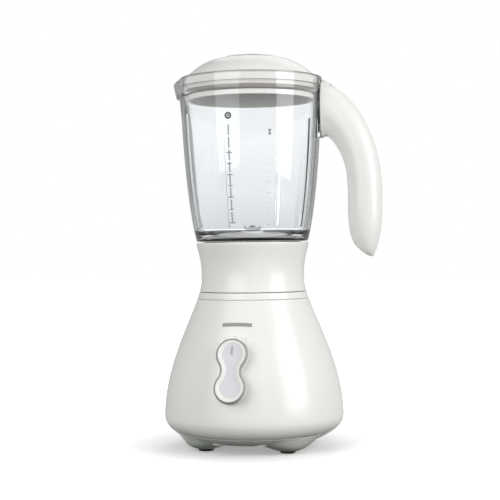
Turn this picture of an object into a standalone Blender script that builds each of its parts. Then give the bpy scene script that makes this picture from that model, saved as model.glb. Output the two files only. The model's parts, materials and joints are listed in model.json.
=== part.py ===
"""A countertop blender: a power unit with its motor, switches and feet, a blade unit in a collar, a clear
goblet with an open-ended handle, and a lid with a filler cap.

Metres, +Z up. The goblet's axis is the Z axis, the feet stand at z = 0, the speed knob faces -Y, the
handle points to +X and the spout to -X."""

import math

import bmesh
import bpy
from mathutils import Matrix, Vector

# Driving dimensions
TOTAL_HEIGHT = 0.380
BASE_RADIUS = 0.0872
BASE_WIDEST_HEIGHT = 0.033
COVER_HEIGHT = 0.0176
SEAM_HEIGHT = 0.150
SHOULDER_RADIUS = 0.0525
COLLAR_TOP = 0.199
COLLAR_TOP_RADIUS = 0.0546
GOBLET_FLOOR = 0.2002
RIM_HEIGHT = 0.356
RIM_RADIUS = 0.0694
RIM_BAND = 0.015
GOBLET_WALL = 0.003
HOUSING_WALL = 0.003
HANDLE_REACH = 0.1275
KNOB_HEIGHT = 0.0793
KNOB_TILT = math.radians(18)
KNOB_LOBE = 0.0146
KNOB_SPACING = 0.0310
KNOB_WAIST = 0.0095
KNOB_DEPTH = 0.0095
SHAFT_RADIUS = 0.004
BUSH_BORE = 0.0043
COUPLING_TEETH = 6
FOOT_RADIUS = 0.0075
FOOT_PLACES = ((0.040, -0.032), (-0.040, -0.032), (-0.040, 0.032), (0.040, 0.032))
BASE_SCREW_CIRCLE = 0.060
BASE_SCREW_ANGLES = (70, 110, 250, 290)
MOUNT_CIRCLE = 0.046
MOUNT_ANGLES = (90, 210, 330)
STATOR_BOLT_OFFSET = 0.0315
INTERLOCK_CIRCLE = 0.038
INTERLOCK_ANGLE = math.radians(150)
RIB_ANGLES = (-52, 38, 128, 218)
SPOUT_ANGLE = math.pi
SPOUT_REACH = 0.0095
SPOUT_HALF_ANGLE = math.radians(17)
GAP = 0.0003

SEGMENTS = 32
SMALL_SEGMENTS = 14
TINY_SEGMENTS = 10


# Shape helpers


def bezier(start, first_pull, second_pull, end, steps):
    """Points from start to end along a cubic curve."""
    points = []
    for step in range(steps + 1):
        t = step / steps
        weights = ((1 - t) ** 3, 3 * t * (1 - t) ** 2, 3 * t * t * (1 - t), t**3)
        corners = (start, first_pull, second_pull, end)
        points.append(tuple(sum(w * c[i] for w, c in zip(weights, corners)) for i in (0, 1)))
    return points


def arc(centre, radius, start, end, steps):
    """Points along an arc, from one angle to another, in degrees."""
    angles = [math.radians(start + (end - start) * step / steps) for step in range(steps + 1)]
    return [(centre[0] + radius * math.cos(a), centre[1] + radius * math.sin(a)) for a in angles]


def offset_inwards(outline, wall):
    """The inner side of a turned wall: the outline moved towards the axis, square to itself."""
    moved = []
    for i, point in enumerate(outline):
        before = Vector(outline[max(i - 1, 0)])
        after = Vector(outline[min(i + 1, len(outline) - 1)])
        along = (after - before).normalized()
        moved.append((point[0] - wall * abs(along.y), point[1] + math.copysign(wall * along.x, along.y)))
    return moved


def polar(radius, angle):
    """A point on a circle about the axis; the angle is in degrees, counted from +X."""
    return (radius * math.cos(math.radians(angle)), radius * math.sin(math.radians(angle)))


def toothed_outline(count, root, tip, tooth_share=0.5, turn=0.0, tip_share=None):
    """A wheel's outline: count teeth from the root radius to the tip radius, turned by some degrees."""
    pitch = 360 / count
    at_root = pitch * tooth_share / 2
    at_tip = pitch * (tooth_share if tip_share is None else tip_share) / 2
    points = []
    for tooth in range(count):
        middle = tooth * pitch + turn
        points += [polar(root, middle - at_root), polar(tip, middle - at_tip)]
        points += [polar(tip, middle + at_tip), polar(root, middle + at_root)]
    return points


def turned(outline, segments=SEGMENTS):
    """A closed outline of (radius, height) points, spun round the Z axis."""
    mesh = bmesh.new()
    corners = [mesh.verts.new((radius, 0, height)) for radius, height in outline]
    edges = []
    for a, b in zip(corners, corners[1:] + corners[:1]):
        if a.co.x > 0 or b.co.x > 0:
            edges.append(mesh.edges.new((a, b)))
    bmesh.ops.spin(
        mesh,
        geom=corners + edges,
        cent=(0, 0, 0),
        axis=(0, 0, 1),
        angle=2 * math.pi,
        steps=segments,
        use_merge=True,
    )
    bmesh.ops.remove_doubles(mesh, verts=mesh.verts, dist=1e-6)
    bmesh.ops.recalc_face_normals(mesh, faces=mesh.faces)
    return mesh


def prism(outline, bottom, top):
    """A flat outline of (x, y) points, extruded from one height to another."""
    mesh = bmesh.new()
    floor = mesh.faces.new([mesh.verts.new((x, y, bottom)) for x, y in outline])
    grown = bmesh.ops.extrude_face_region(mesh, geom=[floor])
    raised = [item for item in grown["geom"] if isinstance(item, bmesh.types.BMVert)]
    bmesh.ops.translate(mesh, verts=raised, vec=(0, 0, top - bottom))
    bmesh.ops.recalc_face_normals(mesh, faces=mesh.faces)
    return mesh


def lofted(sections):
    """A skin through closed sections with equal numbers of points, with a face at each end."""
    mesh = bmesh.new()
    rings = [[mesh.verts.new(point) for point in section] for section in sections]
    for ring, following in zip(rings, rings[1:]):
        for i in range(len(ring)):
            j = (i + 1) % len(ring)
            mesh.faces.new((ring[i], ring[j], following[j], following[i]))
    mesh.faces.new(rings[0][::-1])
    mesh.faces.new(rings[-1])
    bmesh.ops.recalc_face_normals(mesh, faces=mesh.faces)
    return mesh


def box(low, high):
    """A box between two corners."""
    mesh = bmesh.new()
    bmesh.ops.create_cube(mesh, size=1)
    size = [b - a for a, b in zip(low, high)]
    middle = [(a + b) / 2 for a, b in zip(low, high)]
    bmesh.ops.scale(mesh, verts=mesh.verts, vec=size)
    bmesh.ops.translate(mesh, verts=mesh.verts, vec=middle)
    return mesh


def rod(radius, bottom, top, place=(0, 0), segments=SMALL_SEGMENTS, top_radius=None):
    """An upright cylinder or cone."""
    mesh = bmesh.new()
    bmesh.ops.create_cone(
        mesh,
        cap_ends=True,
        segments=segments,
        radius1=radius,
        radius2=radius if top_radius is None else top_radius,
        depth=top - bottom,
        matrix=Matrix.Translation((place[0], place[1], (bottom + top) / 2)),
    )
    return mesh


def turn_about_z(mesh, angle):
    """Turns a mesh about the Z axis by some degrees."""
    matrix = Matrix.Rotation(math.radians(angle), 3, "Z")
    bmesh.ops.rotate(mesh, verts=mesh.verts, cent=(0, 0, 0), matrix=matrix)
    return mesh


def gathered(meshes):
    """Several separate meshes in one, for a cutter or for pieces that a union joins."""
    whole = bmesh.new()
    for mesh in meshes:
        data = bpy.data.meshes.new("gathered")
        mesh.to_mesh(data)
        mesh.free()
        whole.from_mesh(data)
        bpy.data.meshes.remove(data)
    return whole


# Object helpers


def make_material(name, colour, roughness, metallic=0.0, transmission=0.0):
    """A Principled BSDF material."""
    material = bpy.data.materials.new(name)
    material.use_nodes = True
    shader = material.node_tree.nodes["Principled BSDF"]
    shader.inputs["Base Color"].default_value = (*colour, 1)
    shader.inputs["Roughness"].default_value = roughness
    shader.inputs["Metallic"].default_value = metallic
    shader.inputs["Transmission Weight"].default_value = transmission
    material.diffuse_color = (*colour, 1)
    return material


def add_object(name, mesh, material, parent):
    """A finished sub-part, smooth on its round sides and sharp at its corners."""
    data = bpy.data.meshes.new(name)
    mesh.to_mesh(data)
    mesh.free()
    data.shade_smooth()
    data.set_sharp_from_angle(angle=math.radians(35))
    piece = bpy.data.objects.new(name, data)
    bpy.context.scene.collection.objects.link(piece)
    piece.parent = parent
    if material:
        piece.data.materials.append(material)
    return piece


def shape_with(piece, operation, mesh):
    """Joins a mesh to a piece, or cuts it out, by a Boolean whose tool stays hidden. Parts of one tool may
    overlap each other."""
    tool = add_object(f"{piece.name}_{operation.lower()}_{len(piece.modifiers)}", mesh, None, piece)
    tool.hide_render = True
    tool.display_type = "WIRE"
    boolean = piece.modifiers.new(operation.lower(), "BOOLEAN")
    boolean.operation = operation
    boolean.use_self = True
    boolean.object = tool


def add_bevel(piece, width, segments=2, angle=40):
    """Rounds a piece's sharp edges."""
    bevel = piece.modifiers.new("rounded edges", "BEVEL")
    bevel.width = width
    bevel.segments = segments
    bevel.limit_method = "ANGLE"
    bevel.angle_limit = math.radians(angle)


def add_frame(name, parent, place=(0, 0, 0), rotation=(0, 0, 0)):
    """An empty on a joint's axis, which carries the pieces that move together."""
    frame = bpy.data.objects.new(name, None)
    bpy.context.scene.collection.objects.link(frame)
    frame.parent = parent
    frame.location = place
    frame.rotation_euler = rotation
    frame.empty_display_size = 0.02
    return frame


# The outer surfaces that several pieces share


def housing_flank():
    """The power unit's outer side, from its widest height up to the shoulder, as (radius, height)."""
    return bezier(
        (BASE_RADIUS, BASE_WIDEST_HEIGHT),
        (0.0862, 0.081),
        (0.0616, 0.1223),
        (SHOULDER_RADIUS, SEAM_HEIGHT),
        8,
    )


def housing_radius(height):
    """The power unit's outer radius at a height on its flank."""
    flank = housing_flank()
    for (r0, z0), (r1, z1) in zip(flank, flank[1:]):
        if z0 <= height <= z1:
            return r0 + (r1 - r0) * (height - z0) / (z1 - z0)
    raise ValueError(height)


def collar_side():
    """The collar's waisted outer side, from the seam up."""
    foot = (0.0521, SEAM_HEIGHT + GAP)
    return bezier(foot, (0.0456, 0.175), (0.0553, 0.195), (COLLAR_TOP_RADIUS, COLLAR_TOP), 5)


def goblet_side():
    """The goblet's outer side, from its floor up to the rim band."""
    top = RIM_HEIGHT - RIM_BAND
    return bezier((0.0541, GOBLET_FLOOR), (0.0580, 0.2130), (0.0657, 0.2573), (0.0686, top), 6)


# The power unit's shells


def make_upper_housing(white, parent):
    low_flank = [(0.0773, COVER_HEIGHT), (0.0824, 0.0212), (0.0861, 0.0262)]
    deck = SEAM_HEIGHT - 0.0053
    outer = low_flank + [point for point in housing_flank() if point[1] < deck - 0.002]
    edge_radius = housing_radius(deck)
    outer.append((edge_radius, deck))
    inner = offset_inwards(outer, HOUSING_WALL)
    inner[0] = (inner[0][0], COVER_HEIGHT)
    inner[-1] = (inner[-1][0], deck - HOUSING_WALL)
    well = 0.026
    outline = outer + [(well, deck), (well, deck - HOUSING_WALL)] + inner[::-1]
    housing = add_object("upper_housing", turned(outline), white, parent)
    shape_with(housing, "UNION", gathered(housing_posts()))
    shape_with(housing, "DIFFERENCE", gathered(housing_holes(deck)))
    return housing


def housing_posts():
    """Pillars for the motor mounts under the deck, and webs for the base screws on the wall."""
    posts = [rod(0.007, 0.1136, 0.1425, polar(MOUNT_CIRCLE, angle)) for angle in MOUNT_ANGLES]
    for angle in BASE_SCREW_ANGLES:
        foot = box((0.0550, -0.005, COVER_HEIGHT + 0.0001), (0.0755, 0.005, 0.024))
        web = box((0.0552, -0.0048, 0.022), (0.0815, 0.0048, 0.045))
        posts += [turn_about_z(foot, angle), turn_about_z(web, angle)]
    return posts


def housing_holes(deck):
    """Screw holes from below, the interlock pin's hole, and the switch bush's and the gland's holes."""
    holes = [rod(0.0026, 0.112, 0.130, polar(MOUNT_CIRCLE, angle), TINY_SEGMENTS) for angle in MOUNT_ANGLES]
    for angle in BASE_SCREW_ANGLES:
        holes.append(rod(0.0021, 0.015, 0.034, polar(BASE_SCREW_CIRCLE, angle), TINY_SEGMENTS))
    pin_place = polar(INTERLOCK_CIRCLE, math.degrees(INTERLOCK_ANGLE))
    holes.append(rod(0.0034, deck - 0.006, deck + 0.002, pin_place, TINY_SEGMENTS))
    switch_hole = rod(0.0054, -0.010, 0.006)
    bmesh.ops.transform(switch_hole, verts=switch_hole.verts, matrix=knob_matrix())
    gland_hole = rod(0.0063, -0.010, 0.010)
    bmesh.ops.transform(gland_hole, verts=gland_hole.verts, matrix=gland_matrix())
    return holes + [switch_hole, gland_hole]


def knob_place():
    """The point where the knob's axis meets the housing."""
    return Vector((0, -housing_radius(KNOB_HEIGHT), KNOB_HEIGHT))


def knob_matrix():
    """The knob's own frame: its local Z points out of the housing, its local Y up."""
    return Matrix.Translation(knob_place()) @ Matrix.Rotation(math.radians(90) - KNOB_TILT, 4, "X")


def gland_matrix():
    """The gland's own frame at the back of the housing: local Z points out, to +Y."""
    return Matrix.Translation((0, 0.0855, 0.030)) @ Matrix.Rotation(math.radians(-90), 4, "X")


def moved(mesh, place):
    bmesh.ops.translate(mesh, verts=mesh.verts, vec=(*place, 0))
    return mesh


def make_base_cover(white, parent):
    """The underside: a dished plate with a vent ring, screw and foot bosses and a centre pad."""
    plate, plate_radius, thickness = 0.0089, 0.057, 0.0026
    edge = [(0.0768, COVER_HEIGHT - GAP), (0.0712, 0.0136), (0.0650, 0.0106), (plate_radius, plate)]
    pad = [(0.0075, plate), (0.006, 0.0019), (0, 0.0019)]
    top = [(0, plate + thickness), (plate_radius - 0.001, plate + thickness)]
    top += [(0.0640, 0.0132), (0.0695, 0.0158), (0.0725, COVER_HEIGHT - GAP)]
    cover = add_object("base_cover", turned(edge + pad + top), white, parent)
    lobe = [(0, 0.0034), (0.0125, 0.0034), (0.0195, 0.0096), (0.0214, 0.0147), (0, 0.0147)]
    bosses = [moved(turned(lobe, SMALL_SEGMENTS), place) for place in FOOT_PLACES]
    for angle in BASE_SCREW_ANGLES:
        bosses.append(rod(0.0062, 0.0102, COVER_HEIGHT - GAP, polar(BASE_SCREW_CIRCLE, angle), TINY_SEGMENTS))
    shape_with(cover, "UNION", gathered(bosses))
    holes = [rod(0.0034, 0.0020, 0.0090, place, TINY_SEGMENTS) for place in FOOT_PLACES]
    for angle in BASE_SCREW_ANGLES:
        recess = [(0, 0.007), (0.0044, 0.007), (0.0044, 0.0123), (0.0024, 0.0123), (0.0024, 0.020), (0, 0.020)]
        holes.append(moved(turned(recess, TINY_SEGMENTS), polar(BASE_SCREW_CIRCLE, angle)))
    for side in (0, 90, 180, 270):
        for step in (-1, 0, 1):
            slot = box((0.034, -0.0014, 0.007), (0.055, 0.0014, 0.013))
            holes.append(turn_about_z(slot, side + step * 9))
    shape_with(cover, "DIFFERENCE", gathered(holes))
    return cover


def make_shoulder_ring(white, parent):
    """The band under the collar, with the raised seat that the collar drops over."""
    bottom = SEAM_HEIGHT - 0.005
    low_radius = housing_radius(bottom)
    outline = [(low_radius - 0.0002, bottom), (SHOULDER_RADIUS - 0.0002, SEAM_HEIGHT - 0.0003)]
    outline += [(0.0440, SEAM_HEIGHT - 0.0003), (0.0430, 0.1580), (0.0245, 0.1580), (0.0235, 0.1560)]
    outline += [(0.0235, bottom)]
    ring = add_object("shoulder_ring", turned(outline), white, parent)
    pin_place = polar(INTERLOCK_CIRCLE, math.degrees(INTERLOCK_ANGLE))
    shape_with(ring, "DIFFERENCE", rod(0.0034, bottom - 0.002, 0.162, pin_place, TINY_SEGMENTS))
    return ring


def make_feet(rubber, parent):
    for number, place in enumerate(FOOT_PLACES, 1):
        outline = [(0, 0), (FOOT_RADIUS - 0.001, 0), (FOOT_RADIUS, 0.001), (FOOT_RADIUS + 0.0005, 0.0031)]
        outline += [(0.003, 0.0031), (0.003, 0.0085), (0, 0.0085)]
        foot = add_object(f"foot_{number}", turned(outline, SMALL_SEGMENTS), rubber, parent)
        foot.location = (*place, 0)


def make_screw(name, place, head, shank, steel, parent):
    """A pan-head screw, head down. head and shank are (radius, lowest, highest)."""
    outline = [(0, head[1]), (head[0] - 0.0006, head[1]), (head[0], head[1] + 0.0006), (head[0], head[2])]
    outline += [(shank[0], head[2]), (shank[0], shank[2] - 0.0015), (0, shank[2])]
    screw = add_object(name, turned(outline, TINY_SEGMENTS), steel, parent)
    screw.location = (*place, 0)


def make_base_screws(steel, parent):
    for number, angle in enumerate(BASE_SCREW_ANGLES, 1):
        place = polar(BASE_SCREW_CIRCLE, angle)
        make_screw(f"base_screw_{number}", place, (0.0040, 0.0096, 0.0120), (0.0018, 0, 0.032), steel, parent)


# The motor that stands still


def make_stator(iron, copper, parent):
    bore, pole_half_angle, slot_radius, bottom, top = 0.0193, 58, 0.0283, 0.060, 0.092
    inner = []
    slot_sweep = 178 - 2 * pole_half_angle
    for side in (0, 180):
        inner += [polar(bore, side - pole_half_angle + 2 * pole_half_angle * k / 12) for k in range(13)]
        inner += [polar(slot_radius, side + pole_half_angle + 1 + slot_sweep * k / 6) for k in range(7)]
    stator = add_object("stator_core", rod(0.035, bottom, top, segments=32), iron, parent)
    holes = [prism(inner, bottom - 0.002, top + 0.002)]
    for side in (-1, 1):
        holes.append(rod(0.0023, bottom - 0.002, top + 0.002, (0, side * STATOR_BOLT_OFFSET), TINY_SEGMENTS))
    shape_with(stator, "DIFFERENCE", gathered(holes))
    for number, turn in ((1, 0), (2, 180)):
        add_object(f"field_coil_{number}", field_coil(turn), copper, parent)


def field_coil(turn):
    """A saddle coil: a window frame bent round the rotor, with the pole in its window."""
    window_angle, leg_angle, low, low_window, high_window, high = 63, 79, 0.0532, 0.0588, 0.0932, 0.0990
    angles = [-leg_angle, -window_angle] + [-42 + 21 * k for k in range(5)] + [window_angle, leg_angle]
    heights = [low, low_window, high_window, high]
    mesh = bmesh.new()
    grid = [[mesh.verts.new((*polar(0.0212, a + turn), z)) for a in angles] for z in heights]
    faces = []
    for row in range(3):
        for column in range(len(angles) - 1):
            if row == 1 and 0 < column < len(angles) - 2:
                continue
            near, far = grid[row], grid[row + 1]
            faces.append(mesh.faces.new((near[column], near[column + 1], far[column + 1], far[column])))
    grown = bmesh.ops.extrude_face_region(mesh, geom=faces)
    for item in grown["geom"]:
        if isinstance(item, bmesh.types.BMVert):
            item.co.x *= 0.0278 / 0.0212
            item.co.y *= 0.0278 / 0.0212
    bmesh.ops.recalc_face_normals(mesh, faces=mesh.faces)
    return mesh


def make_motor_brackets(alloy, steel, parent):
    arms = toothed_outline(4, 0.0165, 0.0365, 0.42, tip_share=0.21)
    lower = add_object("lower_motor_bracket", prism(arms, 0.0310, 0.0350), alloy, parent)
    shape_with(lower, "UNION", rod(0.0140, 0.0310, 0.0402))
    holes = [rod(0.0060, 0.028, 0.036), rod(0.0113, 0.0327, 0.043)]
    holes += [rod(0.0023, 0.028, 0.038, (0, side * STATOR_BOLT_OFFSET), TINY_SEGMENTS) for side in (-1, 1)]
    shape_with(lower, "DIFFERENCE", gathered(holes))

    spider = toothed_outline(3, 0.0375, 0.0530, 0.16, turn=90, tip_share=0.11)
    disc = []
    for point in range(len(spider)):
        disc.append(spider[point])
        if point % 4 == 3:
            start = math.degrees(math.atan2(spider[point][1], spider[point][0]))
            disc += [polar(0.0375, start + 100.8 * k / 6) for k in range(1, 6)]
    upper = add_object("upper_motor_bracket", prism(disc, 0.1040, 0.1070), alloy, parent)
    shape_with(upper, "UNION", rod(0.0140, 0.1050, 0.1145))
    holes = [rod(0.0060, 0.100, 0.118), rod(0.0113, 0.100, 0.1115)]
    holes += [rod(0.0023, 0.100, 0.110, (0, side * STATOR_BOLT_OFFSET), TINY_SEGMENTS) for side in (-1, 1)]
    holes += [rod(0.0026, 0.100, 0.110, polar(MOUNT_CIRCLE, angle), TINY_SEGMENTS) for angle in MOUNT_ANGLES]
    shape_with(upper, "DIFFERENCE", gathered(holes))

    for name, bottom in (("lower_bearing", 0.0330), ("upper_bearing", 0.1042)):
        top = bottom + 0.007
        outline = [(BUSH_BORE, bottom), (0.0110, bottom), (0.0110, top), (BUSH_BORE, top)]
        add_object(name, turned(outline, SMALL_SEGMENTS), steel, parent)
    for number, side in ((1, -1), (2, 1)):
        place = (0, side * STATOR_BOLT_OFFSET)
        head, shank = (0.0038, 0.0282, 0.0307), (0.0020, 0, 0.1085)
        make_screw(f"stator_bolt_{number}", place, head, shank, steel, parent)


def make_brushes(brass, carbon, parent):
    height, half_width, half_height = 0.0455, 0.0030, 0.0045
    for number, turn in ((1, 0), (2, 180)):
        brush = box((0.0114, -half_width, height - half_height), (0.0260, half_width, height + half_height))
        add_object(f"carbon_brush_{number}", turn_about_z(brush, turn), carbon, parent)
        body = turn_about_z(box((0.0175, -0.0055, 0.0353), (0.0345, 0.0055, 0.0524)), turn)
        holder = add_object(f"brush_holder_{number}", body, brass, parent)
        grown_width, grown_height = half_width + GAP, half_height + GAP
        low = (0.010, -grown_width, height - grown_height)
        high = (0.032, grown_width, height + grown_height)
        shape_with(holder, "DIFFERENCE", turn_about_z(box(low, high), turn))


def make_motor_mounts(rubber, steel, parent):
    for number, angle in enumerate(MOUNT_ANGLES, 1):
        place = polar(MOUNT_CIRCLE, angle)
        outline = [(0.0026, 0.1073), (0.0070, 0.1073), (0.0078, 0.1103), (0.0070, 0.1133), (0.0026, 0.1133)]
        mount = add_object(f"motor_mount_{number}", turned(outline, SMALL_SEGMENTS), rubber, parent)
        mount.location = (*place, 0)
        head, shank = (0.0042, 0.1010, 0.1037), (0.0022, 0, 0.1280)
        make_screw(f"motor_screw_{number}", place, head, shank, steel, parent)


# Switches and electrical pieces


def make_rotary_switch(black, parent):
    """Behind the knob, in the knob's own frame, with its threaded bush through the housing wall."""
    frame = add_frame("switch_frame", parent)
    frame.matrix_local = knob_matrix()
    switch = add_object("rotary_switch", box((-0.014, -0.011, -0.021), (0.014, 0.011, -0.0070)), black, frame)
    shape_with(switch, "UNION", rod(0.0050, -0.0080, -0.0002))
    shape_with(switch, "DIFFERENCE", rod(0.0034, -0.018, 0.002, segments=TINY_SEGMENTS))


def make_interlock(black, steel, white, parent):
    """A sprung pin that the collar presses down onto a switch."""
    place = polar(INTERLOCK_CIRCLE, math.degrees(INTERLOCK_ANGLE))
    case = box((-0.010, -0.004, 0.1090), (0.010, 0.004, 0.1176))
    switch = add_object("interlock_switch", case, black, parent)
    shape_with(switch, "UNION", box((-0.0097, -0.003, 0.1170), (-0.0067, 0.003, 0.1410)))
    switch.location = (*place, 0)
    switch.rotation_euler.z = INTERLOCK_ANGLE + math.radians(90)
    spring = add_object("interlock_spring", spring_coil(0.0043, 0.00045, 0.1215, 0.1345, 4), steel, parent)
    spring.location = (*place, 0)
    frame = add_frame("interlock_slide", parent, (*place, 0))
    outline = [(0, 0.1180), (0.0030, 0.1180), (0.0030, 0.1352), (0.0050, 0.1352), (0.0050, 0.1370)]
    outline += [(0.0030, 0.1370), (0.0030, 0.1575), (0.0022, 0.1584), (0, 0.1584)]
    add_object("interlock_pin", turned(outline, TINY_SEGMENTS), white, frame)
    return frame


def spring_coil(radius, wire, bottom, top, turns):
    """A compression spring as a round wire along a helix."""
    steps, sides = 8 * turns, 5
    low, high = bottom + wire, top - wire
    sections = []
    for step in range(steps + 1):
        angle = 2 * math.pi * turns * step / steps
        outwards = Vector((math.cos(angle), math.sin(angle), 0))
        centre = outwards * radius + Vector((0, 0, low + (high - low) * step / steps))
        section = []
        for side in range(sides):
            around = 2 * math.pi * side / sides
            rise = Vector((0, 0, wire * math.sin(around)))
            section.append(centre + outwards * wire * math.cos(around) + rise)
        sections.append(section)
    return lofted(sections)


def make_suppressor(yellow, parent):
    case = box((-0.011, 0.044, 0.0118), (0.011, 0.056, 0.0270))
    suppressor = add_object("suppressor", case, yellow, parent)
    add_bevel(suppressor, 0.0012)


def make_cord_gland(black, parent):
    frame = add_frame("gland_frame", parent)
    frame.matrix_local = gland_matrix()
    outline = [(0.0032, -0.0060), (0.0060, -0.0060), (0.0060, 0.0030), (0.0082, 0.0030), (0.0078, 0.0050)]
    outline += [(0.0045, 0.0058), (0.0032, 0.0058)]
    add_object("cord_gland", turned(outline, SMALL_SEGMENTS), black, frame)


# The motor's rotor


def make_motor_rotor(steel, iron, copper, brass, black, parent):
    frame = add_frame("motor_spin", parent)
    shaft = [(0, 0.0180), (0.0034, 0.0180), (SHAFT_RADIUS, 0.0186), (SHAFT_RADIUS, 0.1490), (0, 0.1490)]
    add_object("motor_shaft", turned(shaft, SMALL_SEGMENTS), steel, frame)

    slots = toothed_outline(12, 0.0100, 0.0186, 0.42, tip_share=0.62)
    core = add_object("armature_core", prism(slots, 0.0605, 0.0915), iron, frame)
    shape_with(core, "DIFFERENCE", rod(BUSH_BORE, 0.055, 0.097))

    wound = [(0.0070, 0.0562), (0.0150, 0.0562), (0.0165, 0.0575), (0.0165, 0.0945), (0.0150, 0.0958)]
    wound += [(0.0070, 0.0958)]
    winding = add_object("armature_winding", turned(wound, 24), copper, frame)
    around_core = toothed_outline(12, 0.0103, 0.0200, 0.47, tip_share=0.69)
    shape_with(winding, "DIFFERENCE", prism(around_core, 0.0602, 0.0918))

    bars = toothed_outline(14, 0.0104, 0.0110, 0.82)
    commutator = add_object("commutator", prism(bars, 0.0408, 0.0525), brass, frame)
    shape_with(commutator, "DIFFERENCE", rod(BUSH_BORE, 0.038, 0.056))

    vanes = toothed_outline(9, 0.0090, 0.0290, 0.22, tip_share=0.07)
    fan = add_object("cooling_fan", prism(vanes, 0.0195, 0.0262), black, frame)
    shape_with(fan, "UNION", rod(0.0298, 0.0255, 0.0275, segments=28))
    shape_with(fan, "DIFFERENCE", rod(BUSH_BORE, 0.018, 0.029))

    hub = [(0, 0.1493), (0, 0.1605), (0.0160, 0.1605), (0.0160, 0.1470), (0.0090, 0.1440), (0.0090, 0.1380)]
    hub += [(BUSH_BORE, 0.1380), (BUSH_BORE, 0.1493)]
    coupling = add_object("drive_coupling", turned(hub, 24), black, frame)
    socket = toothed_outline(COUPLING_TEETH, 0.0096, 0.0128, 0.5, tip_share=0.42)
    shape_with(coupling, "DIFFERENCE", prism(socket, 0.1535, 0.164))
    return frame


# The speed knob


def make_speed_knob(white, steel, parent):
    frame = add_frame("speed_knob_turn", parent)
    frame.matrix_local = knob_matrix()
    knob = add_object("speed_knob", prism(knob_outline(), 0.0007, 0.0007 + KNOB_DEPTH), white, frame)
    add_bevel(knob, 0.0022, segments=2, angle=50)
    shape_with(knob, "DIFFERENCE", rod(0.0033, -0.001, 0.0065, segments=TINY_SEGMENTS))
    spindle = rod(0.0030, -0.0170, 0.0062, segments=TINY_SEGMENTS)
    add_object("switch_spindle", spindle, steel, frame)
    return frame


def knob_outline():
    """Two round lobes joined by a waist whose hollow sides touch both lobes."""
    half = KNOB_SPACING / 2
    hollow = (KNOB_WAIST**2 + half**2 - KNOB_LOBE**2) / (2 * (KNOB_LOBE - KNOB_WAIST))
    side = KNOB_WAIST + hollow
    touch = math.degrees(math.atan2(half, side))
    upper = arc((0, half), KNOB_LOBE, -touch, 180 + touch, 14)
    left = arc((-side, 0), hollow, touch, -touch, 4)[1:-1]
    lower = arc((0, -half), KNOB_LOBE, 180 - touch, 360 + touch, 14)
    right = arc((side, 0), hollow, 180 + touch, 180 - touch, 4)[1:-1]
    return upper + left + lower + right


# The blade unit


def make_blade_unit(white, steel, bronze, rubber, parent):
    frame = add_frame("goblet_lift", parent)
    shelf, shelf_radius, inner_radius = 0.1706, 0.030, 0.0472
    outer = collar_side()
    outline = outer + [(inner_radius, COLLAR_TOP), (inner_radius, shelf + 0.003)]
    outline += [(shelf_radius, shelf + 0.003), (shelf_radius, shelf), (inner_radius, shelf)]
    outline += [(inner_radius, 0.160), (0.0490, SEAM_HEIGHT + GAP)]
    collar = add_object("blade_collar", turned(outline), white, frame)
    x, y = polar(INTERLOCK_CIRCLE, math.degrees(INTERLOCK_ANGLE))
    shape_with(collar, "UNION", rod(0.0035, 0.1588, shelf + 0.001, (x, y), TINY_SEGMENTS))

    hub_bottom, flange, bush_outer = 0.1739, 0.0033, 0.0070
    hub = [(0.0461, hub_bottom), (0.0461, hub_bottom + flange), (0.0398, hub_bottom + flange + 0.0004)]
    hub += [(0.0385, 0.1930), (0.0340, 0.1965), (0.0160, 0.1985), (0.0115, 0.2010), (0.0110, 0.2035)]
    hub += [(bush_outer + GAP, 0.2035), (bush_outer + GAP, 0.1715), (0.0110, 0.1715), (0.0120, 0.1925)]
    hub += [(0.0330, 0.1930), (0.0355, 0.1905), (0.0360, hub_bottom)]
    add_object("blade_hub", turned(hub, 28), white, frame)

    for name, bottom, top in (("lower_bush", 0.1725, 0.1825), ("upper_bush", 0.1930, 0.2030)):
        bush = [(BUSH_BORE, bottom), (bush_outer, bottom), (bush_outer, top), (BUSH_BORE, top)]
        add_object(name, turned(bush, SMALL_SEGMENTS), bronze, frame)

    ring = [(0.0404, 0.1778), (0.0466, 0.1778), (0.0466, 0.1806), (0.0404, 0.1806)]
    add_object("sealing_ring", turned(ring), rubber, frame)
    return frame


def make_blade_rotor(steel, black, parent):
    frame = add_frame("blade_spin", parent)
    outline = [(0, 0.1640), (SHAFT_RADIUS, 0.1640), (SHAFT_RADIUS, 0.2040), (0.0030, 0.2040)]
    outline += [(0.0030, 0.2130), (0, 0.2130)]
    add_object("blade_shaft", turned(outline, SMALL_SEGMENTS), steel, frame)
    add_object("lower_blade", blade(0.0046, 0.0250, 0.2045, -0.0012, 35), steel, frame)
    add_object("upper_blade", blade(0.0046, 0.0215, 0.2064, 0.0075, 125), steel, frame)
    nut = [(0.0039, 0.2083), (0.0060, 0.2083), (0.0060, 0.2120), (0.0044, 0.2152), (0, 0.2160), (0, 0.2133)]
    nut += [(0.0039, 0.2133)]
    add_object("blade_nut", turned(nut, 6), steel, frame)

    star = toothed_outline(COUPLING_TEETH, 0.0088, 0.0121, 0.42, tip_share=0.34)
    coupling = add_object("driven_coupling", prism(star, 0.1542, 0.1618), black, frame)
    shape_with(coupling, "UNION", rod(0.0150, 0.1610, 0.1650, segments=24))
    shape_with(coupling, "UNION", rod(0.0085, 0.1640, 0.1700))
    shape_with(coupling, "DIFFERENCE", rod(BUSH_BORE, 0.1637, 0.172))
    return frame


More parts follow.
